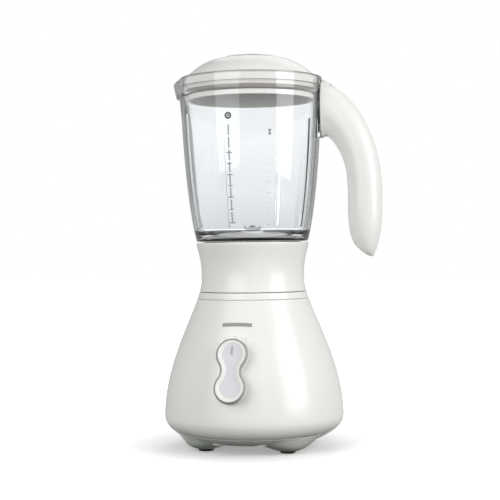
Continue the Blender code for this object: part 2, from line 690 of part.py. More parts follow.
def blade(root, reach, height, rise, turn):
    """A two-armed blade: a flat middle with a hole for the shaft, and arms that bend up or down."""
    thickness, root_width, tip_width, bore = 0.0016, 0.0060, 0.0022, 0.0033
    mesh = bmesh.new()
    inner = [mesh.verts.new((*polar(bore, 45 * k), height)) for k in range(8)]
    outer = [mesh.verts.new((*polar(root * 1.3, 45 * k), height)) for k in range(8)]
    faces = []
    for k in range(8):
        faces.append(mesh.faces.new((inner[k], outer[k], outer[(k + 1) % 8], inner[(k + 1) % 8])))
    for side in (0, 4):
        start = (outer[side - 1], outer[side], outer[(side + 1) % 8])
        sign = 1 if side == 0 else -1
        halves = (-sign / 2, 0, sign / 2)
        bend = [mesh.verts.new((sign * root * 1.9, root_width * half, height)) for half in halves]
        tip = [mesh.verts.new((sign * reach, tip_width * half, height + rise)) for half in halves]
        for near, far in ((start, bend), (bend, tip)):
            for k in (0, 1):
                faces.append(mesh.faces.new((near[k], far[k], far[k + 1], near[k + 1])))
    grown = bmesh.ops.extrude_face_region(mesh, geom=faces)
    raised = [item for item in grown["geom"] if isinstance(item, bmesh.types.BMVert)]
    bmesh.ops.translate(mesh, verts=raised, vec=(0, 0, thickness))
    bmesh.ops.recalc_face_normals(mesh, faces=mesh.faces)
    return turn_about_z(mesh, turn)


# The goblet and its handle


def make_goblet(clear, parent):
    frame = add_frame("goblet_unscrew", parent)
    side = goblet_side()
    band_bottom = RIM_HEIGHT - RIM_BAND
    outer = [(0.0467, 0.1810), (0.0467, GOBLET_FLOOR - 0.0004)] + side
    outer += [(RIM_RADIUS, band_bottom + 0.0006), (RIM_RADIUS, RIM_HEIGHT)]
    inner = [(RIM_RADIUS - 0.0030, RIM_HEIGHT), (RIM_RADIUS - 0.0030, 0.3496), (0.0654, 0.3496)]
    inner += [(r - GOBLET_WALL, z) for r, z in side[:0:-1]]
    inner += [(0.0478, 0.2040), (0.0427, 0.2010), (0.0427, 0.1810)]
    mesh = turned(outer + inner)
    pull_spout(mesh)
    goblet = add_object("goblet", mesh, clear, frame)
    shape_with(goblet, "UNION", gathered([goblet_rib(angle) for angle in RIB_ANGLES]))
    tongue = box((0.0670, -0.0025, 0.3060), (0.0820, 0.0025, 0.3460))
    pad = box((0.0666, -0.0080, 0.2990), (0.0700, 0.0080, 0.3540))
    shape_with(goblet, "UNION", pad)
    shape_with(goblet, "UNION", tongue)
    return frame


def pull_spout(mesh):
    """Draws the rim band out into a V-shaped lip."""
    start = RIM_HEIGHT - RIM_BAND - 0.004
    for vertex in mesh.verts:
        angle = abs(abs(math.atan2(vertex.co.y, vertex.co.x)) - SPOUT_ANGLE)
        if vertex.co.z <= start or angle >= SPOUT_HALF_ANGLE:
            continue
        lift = min((vertex.co.z - start) / 0.012, 1)
        outwards = SPOUT_REACH * lift * (1 - angle / SPOUT_HALF_ANGLE)
        radius = math.hypot(vertex.co.x, vertex.co.y)
        vertex.co.x *= 1 + outwards / radius
        vertex.co.y *= 1 + outwards / radius


def goblet_rib(angle):
    """An upright rib on the inside of the wall, which follows the wall's curve."""
    half_width, depth = 0.0012, 0.0035
    inner_wall = [(r - GOBLET_WALL, z) for r, z in goblet_side() if z > 0.205]
    sections = []
    for r, z in inner_wall[:-1]:
        fade = min(1, (0.335 - z) / 0.02)
        near = r - depth * max(fade, 0.3)
        far = r + 0.0012
        sections.append([(near, -half_width, z), (far, -half_width, z),
                         (far, half_width, z), (near, half_width, z)])
    return turn_about_z(lofted(sections), angle)


def make_handle(white, parent):
    """An open-ended grip: a wide root on the rim, a teardrop section with a crease, and a pointed tail."""
    # Each station: the inner edge, the outer edge, as (reach, height), and the half width.
    stations = (
        ((0.0704, 0.2990), (0.0704, 0.3562), 0.0095),
        ((0.0760, 0.2996), (0.0800, 0.3520), 0.0110),
        ((0.0833, 0.2916), (0.0960, 0.3360), 0.0130),
        ((0.0895, 0.2800), (0.1110, 0.3150), 0.0142),
        ((0.0935, 0.2660), (0.1215, 0.2900), 0.0148),
        ((0.0949, 0.2480), (0.1268, 0.2620), 0.0150),
        ((0.0948, 0.2280), (HANDLE_REACH, 0.2340), 0.0146),
        ((0.0960, 0.2100), (0.1262, 0.2120), 0.0130),
        ((0.1000, 0.1975), (0.1235, 0.1980), 0.0100),
        ((0.1075, 0.1895), (0.1205, 0.1888), 0.0062),
        ((0.1150, 0.1845), (0.1185, 0.1838), 0.0018),
    )
    sections = [handle_section(*station) for station in smoothed(stations, 2)]
    handle = add_object("handle", lofted(sections), white, parent)
    shape_with(handle, "DIFFERENCE", box((0.0680, -0.0029, 0.3055), (0.0830, 0.0029, 0.3465)))


def smoothed(stations, steps):
    """More stations between the given ones, on a smooth curve through them all."""
    rows = [(*inner, *outer, width) for inner, outer, width in stations]
    result = []
    for i in range(len(rows) - 1):
        a, b, c, d = (rows[min(max(i + k, 0), len(rows) - 1)] for k in (-1, 0, 1, 2))
        for step in range(steps):
            t = step / steps
            row = []
            for p, q, r, s in zip(a, b, c, d):
                bend = (2 * p - 5 * q + 4 * r - s) * t + (3 * q - p - 3 * r + s) * t * t
                row.append(0.5 * (2 * q + (r - p + bend) * t))
            result.append(row)
    result.append(rows[-1])
    return [((row[0], row[1]), (row[2], row[3]), row[4]) for row in result]


def handle_section(inner, outer, half_width):
    """A teardrop: a thin rounded front edge, its widest place at the crease, and a round back."""
    shape = ((0, 0), (0.06, 0.42), (0.46, 1.0), (0.68, 0.90), (0.90, 0.55), (1, 0))
    shape += tuple((along, -across) for along, across in shape[-2:0:-1])
    points = []
    for along, across in shape:
        x = inner[0] + (outer[0] - inner[0]) * along
        z = inner[1] + (outer[1] - inner[1]) * along
        points.append((x, half_width * across, z))
    return points


# The lid and the filler cap


def make_lid(white, rubber, parent):
    frame = add_frame("lid_lift", parent)
    flange_bottom, wall, well = 0.3499, 0.0024, 0.0297
    dome = bezier((0.0650, 0.3562), (0.0600, 0.3640), (0.0460, 0.3755), (0.0310, 0.3773), 5)
    under = [(r - 0.0012, z - wall) for r, z in dome[::-1]]
    under[-1] = (0.0604, 0.3530)
    outline = [(0.0626, 0.3370), (0.0626, flange_bottom), (0.0659, flange_bottom), (0.0659, 0.3553)]
    outline += dome + [(well, 0.3765), (well, 0.3738), (0.0243, 0.3738), (0.0243, 0.3690), (0.0267, 0.3690)]
    outline += [(0.0267, 0.3714), (0.0290, 0.3714)]
    outline += under[1:] + [(0.0600, 0.3370)]
    lid = add_object("lid", turned(outline), white, frame)
    groove = [(0.0618, 0.3415), (0.0618, 0.3465), (0.070, 0.3465), (0.070, 0.3415)]
    shape_with(lid, "DIFFERENCE", turned(groove))
    seal = [(0.0621, 0.3419), (0.0646, 0.3424), (0.0650, 0.3440), (0.0646, 0.3456), (0.0621, 0.3461)]
    add_object("lid_seal", turned(seal), rubber, frame)
    return frame


def make_filler_cap(white, parent):
    frame = add_frame("filler_cap_lift", parent)
    outline = [(0, TOTAL_HEIGHT), (0.0248, TOTAL_HEIGHT), (0.0270, 0.3793), (0.0278, 0.3780)]
    outline += [(0.0274, 0.3741), (0.0238, 0.3741), (0.0235, 0.3620), (0.0215, 0.3620)]
    outline += [(0.0213, 0.3772), (0, 0.3776)]
    add_object("filler_cap", turned(outline, 28), white, frame)


def clear_scene():
    for thing in list(bpy.data.objects):
        bpy.data.objects.remove(thing, do_unlink=True)


def main():
    clear_scene()
    white = make_material("gloss_white", (0.86, 0.86, 0.84), 0.22)
    clear = make_material("clear_plastic", (0.90, 0.94, 0.96), 0.04, transmission=0.9)
    rubber = make_material("black_rubber", (0.03, 0.03, 0.03), 0.7)
    seal_rubber = make_material("grey_rubber", (0.35, 0.33, 0.31), 0.6)
    steel = make_material("steel", (0.62, 0.62, 0.63), 0.28, metallic=1.0)
    iron = make_material("laminated_iron", (0.32, 0.32, 0.34), 0.5, metallic=0.9)
    copper = make_material("copper", (0.72, 0.33, 0.18), 0.4, metallic=0.9)
    brass = make_material("brass", (0.78, 0.60, 0.30), 0.35, metallic=1.0)
    alloy = make_material("cast_alloy", (0.60, 0.60, 0.62), 0.5, metallic=0.9)
    carbon = make_material("carbon", (0.05, 0.05, 0.06), 0.6)
    black = make_material("black_plastic", (0.04, 0.04, 0.045), 0.45)
    yellow = make_material("yellow_plastic", (0.78, 0.62, 0.14), 0.5)

    power_unit = add_frame("power_unit", None)
    make_upper_housing(white, power_unit)
    make_base_cover(white, power_unit)
    make_shoulder_ring(white, power_unit)
    make_feet(rubber, power_unit)
    make_base_screws(steel, power_unit)
    make_stator(iron, copper, power_unit)
    make_motor_brackets(alloy, steel, power_unit)
    make_brushes(brass, carbon, power_unit)
    make_motor_mounts(rubber, steel, power_unit)
    make_rotary_switch(black, power_unit)
    make_interlock(black, steel, white, power_unit)
    make_suppressor(yellow, power_unit)
    make_cord_gland(black, power_unit)
    make_motor_rotor(steel, iron, copper, brass, black, power_unit)
    make_speed_knob(white, steel, power_unit)

    blade_unit = make_blade_unit(white, steel, brass, seal_rubber, power_unit)
    make_blade_rotor(steel, black, blade_unit)
    goblet_frame = make_goblet(clear, blade_unit)
    make_handle(white, goblet_frame)
    lid_frame = make_lid(white, seal_rubber, goblet_frame)
    make_filler_cap(white, lid_frame)


main()
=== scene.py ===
"""A countertop blender: a white power unit with a two-lobed dial, and a clear goblet with a lid."""

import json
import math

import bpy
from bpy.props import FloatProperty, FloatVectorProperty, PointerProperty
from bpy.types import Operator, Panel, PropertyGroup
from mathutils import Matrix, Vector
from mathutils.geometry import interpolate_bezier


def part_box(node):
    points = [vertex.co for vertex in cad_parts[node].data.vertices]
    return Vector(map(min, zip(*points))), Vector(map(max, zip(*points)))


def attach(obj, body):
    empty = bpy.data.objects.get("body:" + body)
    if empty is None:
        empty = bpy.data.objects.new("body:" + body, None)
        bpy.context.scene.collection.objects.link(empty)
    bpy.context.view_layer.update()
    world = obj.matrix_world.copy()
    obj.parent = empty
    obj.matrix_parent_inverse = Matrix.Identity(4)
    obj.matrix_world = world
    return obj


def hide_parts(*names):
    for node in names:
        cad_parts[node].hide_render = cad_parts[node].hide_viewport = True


bl_info = {
    "name": "Countertop Blender",
    "version": (1, 0, 0),
    "blender": (4, 5, 0),
    "location": "View3D > Sidebar > Kitchen",
    "description": "Models a countertop blender piece by piece and sets it on a studio stage",
    "category": "Object",
}

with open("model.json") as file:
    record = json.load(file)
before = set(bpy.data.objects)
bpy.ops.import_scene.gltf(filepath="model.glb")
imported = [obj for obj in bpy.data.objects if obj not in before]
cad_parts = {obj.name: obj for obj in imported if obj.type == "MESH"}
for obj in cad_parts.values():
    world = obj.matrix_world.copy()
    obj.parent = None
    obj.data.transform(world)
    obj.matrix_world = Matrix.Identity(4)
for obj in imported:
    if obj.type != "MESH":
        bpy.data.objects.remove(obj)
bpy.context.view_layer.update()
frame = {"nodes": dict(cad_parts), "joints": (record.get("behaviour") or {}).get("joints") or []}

MM = 0.001
FULL_TURN = 2 * math.pi

# Heights and radii of the fixed frame that the pieces are modelled to

JOINTS = {joint["name"]: joint for joint in frame["joints"]}
COVER_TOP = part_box("upper_housing")[0].z
BASE_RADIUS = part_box("upper_housing")[1].x
HOUSING_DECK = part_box("upper_housing")[1].z
COLLAR_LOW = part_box("blade_collar")[0].z
COLLAR_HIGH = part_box("blade_collar")[1].z
COLLAR_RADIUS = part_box("blade_collar")[1].x
RING_LOW, RING_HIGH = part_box("shoulder_ring")[0].z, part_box("shoulder_ring")[1].z
GOBLET_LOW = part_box("goblet")[0].z
RIM_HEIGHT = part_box("goblet")[1].z
RIM_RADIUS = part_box("goblet")[1].y
RIM_TOP = RIM_HEIGHT + 2.2 * MM
LID_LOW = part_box("lid")[0].z
CAP_LOW, CAP_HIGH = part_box("filler_cap")[0].z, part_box("filler_cap")[1].z
FOOT_NODES = [f"foot_{number}" for number in range(1, 5)]
SCREW_NODES = [f"base_screw_{number}" for number in range(1, 5)]
SEAM_LIFT = 1.5 * MM
CLEAR_HEIGHTS = (0.190, 0.360)
PIN_HOLE = 0.0034
GLAND_REACH = 5.8 * MM
HUB_SEAT = 0.190
DECK_WELL = 0.026
GOBLET_BORE = 0.0427
COUPLING_BORE = 4.3 * MM


def middle_of(node):
    low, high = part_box(node)
    return (low + high) / 2


# Modelling by hand: what every piece starts from


def let_go():
    """Leaves nothing selected, so that the next tool acts on its own piece alone."""
    if bpy.context.object and bpy.context.object.mode != "OBJECT":
        bpy.ops.object.mode_set(mode="OBJECT")
    bpy.ops.object.select_all(action="DESELECT")


def pick(piece):
    let_go()
    piece.select_set(True)
    bpy.context.view_layer.objects.active = piece


def settle(piece, angle=32):
    """Puts the piece's place into its mesh, turns its faces out and smooths its round surfaces."""
    pick(piece)
    bpy.ops.object.transform_apply(location=True, rotation=True, scale=True)
    bpy.ops.object.mode_set(mode="EDIT")
    bpy.ops.mesh.select_all(action="SELECT")
    bpy.ops.mesh.remove_doubles(threshold=1e-6)
    bpy.ops.mesh.normals_make_consistent(inside=False)
    bpy.ops.object.mode_set(mode="OBJECT")
    bpy.ops.object.shade_smooth_by_angle(angle=math.radians(angle))
    return piece


def apply_modifier(piece, kind, **values):
    """Adds one modifier with the given values and applies it."""
    pick(piece)
    modifier = piece.modifiers.new(kind.lower(), kind)
    for key, value in values.items():
        setattr(modifier, key, value)
    bpy.ops.object.modifier_apply(modifier=modifier.name)
    return piece


def cut_or_join(piece, operation, tools):
    for tool in tools:
        apply_modifier(piece, "BOOLEAN", operation=operation, object=tool, solver="EXACT")
        bpy.data.objects.remove(tool)
    return piece


def joined(name, pieces):
    """Several meshes as one object, each still its own closed body."""
    pick(pieces[0])
    for piece in pieces:
        piece.select_set(True)
    if len(pieces) > 1:
        bpy.ops.object.join()
    pieces[0].name = name
    return pieces[0]


def copy_turned(piece, angle, name=None):
    """A copy with its own mesh, turned about the upright axis."""
    pick(piece)
    bpy.ops.object.duplicate(linked=False)
    copy = bpy.context.object
    copy.data.transform(Matrix.Rotation(angle, 4, "Z"))
    copy.name = name or piece.name
    return copy


def turned(name, outline, steps=96, angle=32):
    """A turned piece: a point is extruded along the outline of (radius, height), which is spun once round."""
    let_go()
    radius, height = outline[0][:2]
    bpy.ops.mesh.primitive_plane_add(size=MM, location=(radius, 0, height), enter_editmode=True)
    bpy.ops.mesh.merge(type="CENTER")
    for here, there in zip(outline, outline[1:]):
        step = (there[0] - here[0], 0, there[1] - here[1])
        bpy.ops.mesh.extrude_region_move(TRANSFORM_OT_translate={"value": step})
    bpy.ops.mesh.select_all(action="SELECT")
    bpy.ops.mesh.spin(steps=steps, angle=FULL_TURN, center=(0, 0, 0), axis=(0, 0, 1))
    bpy.ops.object.mode_set(mode="OBJECT")
    piece = bpy.context.object
    piece.name = name
    return settle(piece, angle)


def rod(name, radius, low, high, steps=24):
    """A plain upright rod."""
    return turned(name, [(0, low), (radius, low), (radius, high), (0, high)], steps)


def hoop(name, corners, steps=96):
    """A turned ring whose section is closed and rounded at its corners."""
    outline = rounded(corners)
    return turned(name, outline + [outline[0]], steps)


def stand_at(piece, node):
    """Moves a piece from the upright axis to a node's place."""
    place = middle_of(node)
    piece.data.transform(Matrix.Translation((place.x, place.y, 0)))
    return piece


def skinned(name, rings, angle=32):
    """A disc extruded from ring to ring of points, all with the same count."""
    let_go()
    bpy.ops.mesh.primitive_circle_add(vertices=len(rings[0]), radius=MM, fill_type="NGON")
    piece = bpy.context.object
    piece.name = name
    place_picked(piece, rings[0])
    for ring in rings[1:]:
        bpy.ops.object.mode_set(mode="EDIT")
        bpy.ops.mesh.extrude_region_move()
        bpy.ops.object.mode_set(mode="OBJECT")
        place_picked(piece, ring)
    return settle(piece, angle)


def place_picked(piece, ring):
    picked = [vertex for vertex in piece.data.vertices if vertex.select]
    for vertex, point in zip(picked, ring):
        vertex.co = point


def block(name, low, high, bevel=0.0, segments=3):
    """A box between two corners, with its edges rounded."""
    let_go()
    size = Vector(high) - Vector(low)
    bpy.ops.mesh.primitive_cube_add(size=1, location=(Vector(low) + Vector(high)) / 2, scale=size)
    piece = bpy.context.object
    piece.name = name
    bpy.ops.object.transform_apply(location=True, rotation=True, scale=True)
    if bevel:
        bpy.ops.object.mode_set(mode="EDIT")
        bpy.ops.mesh.select_all(action="SELECT")
        bpy.ops.mesh.bevel(offset=bevel, segments=segments, affect="EDGES")
        bpy.ops.object.mode_set(mode="OBJECT")
    return settle(piece)


def rounded(corners, steps=4):
    """An outline through the corners. A third number at a corner is how far its rounding reaches."""
    outline = []
    for index, corner in enumerate(corners):
        here = Vector(corner[:2])
        if len(corner) == 2:
            outline.append(here)
            continue
        before = Vector(corners[index - 1][:2]) - here
        after = Vector(corners[(index + 1) % len(corners)][:2]) - here
        reach = min(corner[2], 0.48 * before.length, 0.48 * after.length)
        start, end = here + before.normalized() * reach, here + after.normalized() * reach
        for step in range(steps + 1):
            t = step / steps
            outline.append(start * (1 - t) ** 2 + here * (2 * t * (1 - t)) + end * t * t)
    return outline


def curve(start, first_pull, second_pull, end, points):
    """Points along a curve that leaves start towards first_pull and reaches end from second_pull."""
    return [
        Vector(p)
        for p in interpolate_bezier(
            Vector(start), Vector(first_pull), Vector(second_pull), Vector(end), points
        )
    ]


def inset_outline(outline, wall):
    """The outline moved to its left by the wall's thickness."""
    inner = []
    for index, here in enumerate(outline):
        before = outline[max(index - 1, 0)]
        after = outline[min(index + 1, len(outline) - 1)]
        along = (Vector(after[:2]) - Vector(before[:2])).normalized()
        inner.append(Vector((here[0] - along.y * wall, here[1] + along.x * wall)))
    return inner


def ride(piece, body, slot, *nodes, finish=None):
    """Gives a finished piece its finish, the slot's own unless another is named, and makes it stand for the
    frame's nodes.
    """
    piece.data.materials.clear()
    piece.data.materials.append(FINISHES[finish or slot])
    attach(piece, body)
    if nodes:
        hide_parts(*nodes)


# Finishes


def start_finish(name, colour, roughness, metallic=0.0):
    material = bpy.data.materials.new(name)
    material.use_nodes = True
    material.diffuse_color = (*colour, 1)
    shader = material.node_tree.nodes["Principled BSDF"]
    shader.inputs["Base Color"].default_value = (*colour, 1)
    shader.inputs["Roughness"].default_value = roughness
    shader.inputs["Metallic"].default_value = metallic
    return material, material.node_tree, shader


def object_place(tree, stretch=(1, 1, 1)):
    """The piece's own coordinates, stretched where a grain runs one way."""
    coordinates = tree.nodes.new("ShaderNodeTexCoord")
    mapping = tree.nodes.new("ShaderNodeMapping")
    mapping.inputs["Scale"].default_value = stretch
    tree.links.new(coordinates.outputs["Object"], mapping.inputs["Vector"])
    return mapping.outputs["Vector"]


def mottle(tree, scale, detail=2, stretch=(1, 1, 1)):
    noise = tree.nodes.new("ShaderNodeTexNoise")
    noise.inputs["Scale"].default_value = scale
    noise.inputs["Detail"].default_value = detail
    tree.links.new(object_place(tree, stretch), noise.inputs["Vector"])
    return noise.outputs["Fac"]


def ranged(tree, value, low, high, start=0.3, end=0.7):
    """The value, taken from start..end to low..high."""
    node = tree.nodes.new("ShaderNodeMapRange")
    node.inputs["From Min"].default_value = start
    node.inputs["From Max"].default_value = end
    node.inputs["To Min"].default_value = low
    node.inputs["To Max"].default_value = high
    tree.links.new(value, node.inputs["Value"])
    return node.outputs["Result"]


def two_tone(tree, factor, first, second):
    mix = tree.nodes.new("ShaderNodeMix")
    mix.data_type = "RGBA"
    mix.inputs["A"].default_value = (*first, 1)
    mix.inputs["B"].default_value = (*second, 1)
    tree.links.new(factor, mix.inputs["Factor"])
    return mix.outputs["Result"]


def roughen(tree, shader, height, distance, strength=1.0):
    bump = tree.nodes.new("ShaderNodeBump")
    bump.inputs["Distance"].default_value = distance
    bump.inputs["Strength"].default_value = strength
    tree.links.new(height, bump.inputs["Height"])
    tree.links.new(bump.outputs["Normal"], shader.inputs["Normal"])


def moulded(name, colour, shade, roughness, grain=900, relief=2e-6, specular=0.5):
    """Moulded plastic or rubber: a faint drift in colour and gloss, and the grain of the mould."""
    material, tree, shader = start_finish(name, colour, roughness)
    shader.inputs["Specular IOR Level"].default_value = specular
    drift = ranged(tree, mottle(tree, 9, 3), 0, 1)
    tree.links.new(two_tone(tree, drift, colour, shade), shader.inputs["Base Color"])
    wear = ranged(tree, mottle(tree, 40, 4), roughness * 0.85, roughness * 1.15)
    tree.links.new(wear, shader.inputs["Roughness"])
    roughen(tree, shader, mottle(tree, grain, 2), relief)
    return material


def underside(name, colour, shade, roughness, low, high):
    """The body's plastic, with painted shade under the base: its colour darkens below the given heights."""
    material = moulded(name, colour, shade, roughness)
    tree, shader = material.node_tree, material.node_tree.nodes["Principled BSDF"]
    unshaded_share = ranged(tree, height_of(tree), 0, 1, low, high)
    # painted shade: a darker copy of the body's colour, faded in towards the bottom of the base
    painted_shade = tuple(share * part for share, part in zip((0.50, 0.54, 0.50), shade))
    tree.links.new(two_tone(tree, unshaded_share, painted_shade, colour), shader.inputs["Base Color"])
    return material


def metal(name, colour, shade, roughness, stretch, grain=300, relief=4e-6):
    """Metal with a drawn, ground or cast grain."""
    material, tree, shader = start_finish(name, colour, roughness, metallic=1.0)
    lines = mottle(tree, grain, 3, stretch)
    tree.links.new(two_tone(tree, ranged(tree, lines, 0, 1), colour, shade), shader.inputs["Base Color"])
    tree.links.new(ranged(tree, lines, roughness * 0.7, roughness * 1.3), shader.inputs["Roughness"])
    roughen(tree, shader, lines, relief)
    return material


def banded(name, colour, shade, roughness, metallic, direction, count, relief):
    """Stacked sheets or wound wire: fine bands across one direction."""
    material, tree, shader = start_finish(name, colour, roughness, metallic)
    bands = tree.nodes.new("ShaderNodeTexWave")
    bands.bands_direction = direction
    bands.inputs["Scale"].default_value = count
    bands.inputs["Distortion"].default_value = 0.4
    tree.links.new(object_place(tree), bands.inputs["Vector"])
    tree.links.new(two_tone(tree, bands.outputs["Fac"], shade, colour), shader.inputs["Base Color"])
    roughen(tree, shader, bands.outputs["Fac"], relief)
    return material


def stops(tree, value, places):
    """A colour that changes with the value, by (place, colour)."""
    ramp = tree.nodes.new("ShaderNodeValToRGB")
    for number, (place, colour) in enumerate(places):
        stop = ramp.color_ramp.elements[number] if number < 2 else ramp.color_ramp.elements.new(place)
        stop.position = place
        stop.color = (*colour, 1)
    tree.links.new(value, ramp.inputs["Fac"])
    return ramp.outputs["Color"]


def mixed(tree, rays, first, second, output):
    """The second shader for the two named kinds of ray, and the first one for all others."""
    path = tree.nodes.new("ShaderNodeLightPath")
    either = tree.nodes.new("ShaderNodeMath")
    either.operation = "MAXIMUM"
    tree.links.new(path.outputs[rays[0]], either.inputs[0])
    tree.links.new(path.outputs[rays[1]], either.inputs[1])
    mix = tree.nodes.new("ShaderNodeMixShader")
    tree.links.new(either.outputs[0], mix.inputs["Fac"])
    tree.links.new(first, mix.inputs[1])
    tree.links.new(second, mix.inputs[2])
    tree.links.new(mix.outputs["Shader"], tree.nodes[output].inputs["Surface"])


def height_of(tree):
    """The height in the piece's own coordinates."""
    parts = tree.nodes.new("ShaderNodeSeparateXYZ")
    tree.links.new(object_place(tree), parts.inputs["Vector"])
    return parts.outputs["Z"]


def clear_finish(colour, painted_low_shade, painted_edge_shade):
    """Clear moulded plastic that lets lamps shine through. Its colour darkens where it is seen edge-on, a
    painted reflection of dark surroundings. It also carries painted shade by height: darker towards the
    floor, grey over the rim band, with dark lines at the foot and at the rim's top.
    """
    material, tree, shader = start_finish("clear_plastic", colour, 0.03)
    shader.inputs["Transmission Weight"].default_value = 1.0
    shader.inputs["IOR"].default_value = 1.49
    # painted reflection: the base colour darkens where the plastic is seen edge-on
    facing = tree.nodes.new("ShaderNodeLayerWeight")
    facing.inputs["Blend"].default_value = 0.5
    edge = stops(
        tree, facing.outputs["Facing"],
        ((0.0, (1, 1, 1)), (0.50, (1, 1, 1)), (0.59, (0.72, 0.73, 0.73)), (0.66, painted_edge_shade))
    )
    # painted shade by height: darker towards the floor, grey over the rim band, and dark lines at the foot
    # and at the rim's top
    rise = ranged(tree, height_of(tree), 0, 1, *CLEAR_HEIGHTS)
    half_way = tuple(0.4 * low + 0.6 * high for low, high in zip(painted_low_shade, colour))
    dark, band = (0.40, 0.41, 0.41), (0.90, 0.90, 0.905)
    places = ((0.2012, dark), (0.2032, painted_low_shade), (0.2500, half_way), (0.3000, colour), (0.3370, colour))
    places += ((0.3420, band), (RIM_TOP - 2.0 * MM, band), (RIM_TOP - 1.3 * MM, dark))
    bottom, top = CLEAR_HEIGHTS
    painted_height_shade = stops(tree, rise, [((place - bottom) / (top - bottom), shade) for place, shade in places])
    blend = tree.nodes.new("ShaderNodeMix")
    blend.data_type, blend.blend_type = "RGBA", "MULTIPLY"
    blend.inputs["Factor"].default_value = 1.0
    tree.links.new(painted_height_shade, blend.inputs["A"])
    tree.links.new(edge, blend.inputs["B"])
    tree.links.new(blend.outputs["Result"], shader.inputs["Base Color"])
    roughen(tree, shader, mottle(tree, 60, 2), 6e-6)
    through = tree.nodes.new("ShaderNodeBsdfTransparent").outputs["BSDF"]
    mixed(tree, ("Is Shadow Ray", "Is Diffuse Ray"), shader.outputs["BSDF"], through, "Material Output")
    return material


FINISHES = {}


MOULDED = {
    # colour, second colour, roughness, grain, relief
    "black_rubber": ((0.012, 0.012, 0.012), (0.025, 0.024, 0.023), 0.7, 500, 2e-5),
    "grey_rubber": ((0.30, 0.28, 0.265), (0.24, 0.225, 0.21), 0.5, 600, 1e-5),
    "carbon": ((0.03, 0.03, 0.033), (0.05, 0.05, 0.055), 0.6, 800, 1e-5),
    "black_plastic": ((0.022, 0.022, 0.024), (0.035, 0.035, 0.037), 0.42, 700, 8e-6),
    "yellow_plastic": ((0.72, 0.55, 0.10), (0.62, 0.46, 0.08), 0.45, 700, 6e-6),
    # this grey serves the printed dash and the dial's painted shadow line
    "print_grey": ((0.30, 0.30, 0.29), (0.38, 0.38, 0.37), 0.5, 700, 2e-6),
    "print_soft": ((0.36, 0.38, 0.40), (0.42, 0.44, 0.46), 0.5, 700, 2e-6),
    "print_dark": ((0.045, 0.045, 0.05), (0.07, 0.07, 0.075), 0.5, 700, 2e-6),
    # this lilac-grey serves the printed position marks and the painted shade of the dial's face
    "inlay": ((0.66, 0.66, 0.70), (0.69, 0.69, 0.72), 0.35, 700, 2e-6),
    "print_pale": ((0.60, 0.60, 0.58), (0.66, 0.66, 0.64), 0.5, 700, 2e-6),
}
METALS = {
    # colour, second colour, roughness, stretch of the grain, then the grain and its relief where it is cast
    "steel": ((0.62, 0.62, 0.63), (0.48, 0.48, 0.50), 0.24, (1, 8, 1)),
    "brass": ((0.72, 0.54, 0.26), (0.56, 0.40, 0.18), 0.34, (6, 6, 1)),
    "cast_alloy": ((0.56, 0.56, 0.58), (0.40, 0.40, 0.42), 0.5, (1, 1, 1), 500, 2e-5),
}
BANDED = {
    # colour, second colour, roughness, metallic, direction, bands, relief
    "laminated_iron": ((0.34, 0.34, 0.36), (0.14, 0.14, 0.15), 0.5, 0.9, "Z", 320, 3e-5),
    "copper": ((0.62, 0.27, 0.12), (0.30, 0.10, 0.04), 0.35, 0.9, "Z", 420, 6e-5),
}


def make_finishes(finish):
    """Every finish of the blender, by the slot of the record or by the mark that it belongs to."""
    white, shade = tuple(finish.body_colour), tuple(finish.body_shade)
    FINISHES["gloss_white"] = moulded("gloss_white", white, shade, finish.body_roughness)
    # painted shade under the base cover, fading in below these heights
    FINISHES["underside"] = underside("underside", white, shade, finish.body_roughness, 5 * MM, 16 * MM)
    clear = (tuple(colour) for colour in (finish.clear_colour, finish.clear_low_shade, finish.clear_edge_shade))
    FINISHES["clear_plastic"] = clear_finish(*clear)
    for make, table in ((moulded, MOULDED), (metal, METALS), (banded, BANDED)):
        for name, values in table.items():
            FINISHES[name] = make(name, *values)


def paint_frame():
    """The frame's own nodes take the same finishes, by the slots of their record."""
    for node in frame["nodes"].values():
        for slot in node.material_slots:
            slot.material = FINISHES[slot.material.name.split(".")[0]]


# Settings


class KitchenBodySettings(PropertyGroup):
    """The power unit's shells"""

    widest_height: FloatProperty(
        name="Widest height", description="Height at which the power unit is widest",
        default=0.033, unit="LENGTH"
    )
    lower_pull: FloatProperty(
        name="Lower pull", description="Height up to which the flank stays upright",
        default=0.081, unit="LENGTH"
    )
    shoulder_radius: FloatProperty(
        name="Shoulder radius", description="Radius of the flank where the collar meets it",
        default=0.0525, unit="LENGTH"
    )
    wall: FloatProperty(name="Wall", description="Thickness of the shells", default=0.003, unit="LENGTH")


class KitchenDialSettings(PropertyGroup):
    """The two-lobed dial"""

    lobe: FloatProperty(name="Lobe", description="Radius of each lobe", default=0.0146, unit="LENGTH")
    waist: FloatProperty(
        name="Waist", description="Half the width of the waist", default=0.0095, unit="LENGTH"
    )
    spacing: FloatProperty(
        name="Spacing", description="Distance between the lobes' centres", default=0.0310, unit="LENGTH"
    )
    depth: FloatProperty(
        name="Depth", description="How far the dial stands out", default=0.0095, unit="LENGTH"
    )


class KitchenGobletSettings(PropertyGroup):
    """The clear goblet"""

    wall: FloatProperty(
        name="Wall", description="Thickness of the goblet's wall", default=0.003, unit="LENGTH"
    )
    band: FloatProperty(
        name="Rim band", description="Height of the upright band at the rim", default=0.015, unit="LENGTH"
    )
    spout_reach: FloatProperty(
        name="Spout reach", description="How far the spout's lip is drawn out",
        default=0.0095, unit="LENGTH"
    )
    spout_half_angle: FloatProperty(
        name="Spout half angle", description="Half the angle that the spout takes up",
        default=math.radians(17), subtype="ANGLE"
    )
    rib_depth: FloatProperty(
        name="Rib depth", description="How far the ribs stand into the goblet",
        default=0.0035, unit="LENGTH"
    )
    half_cup: FloatProperty(
        name="Graduation", description="Volume between two marks of the left scale, in cubic metres",
        default=0.000118, precision=6
    )


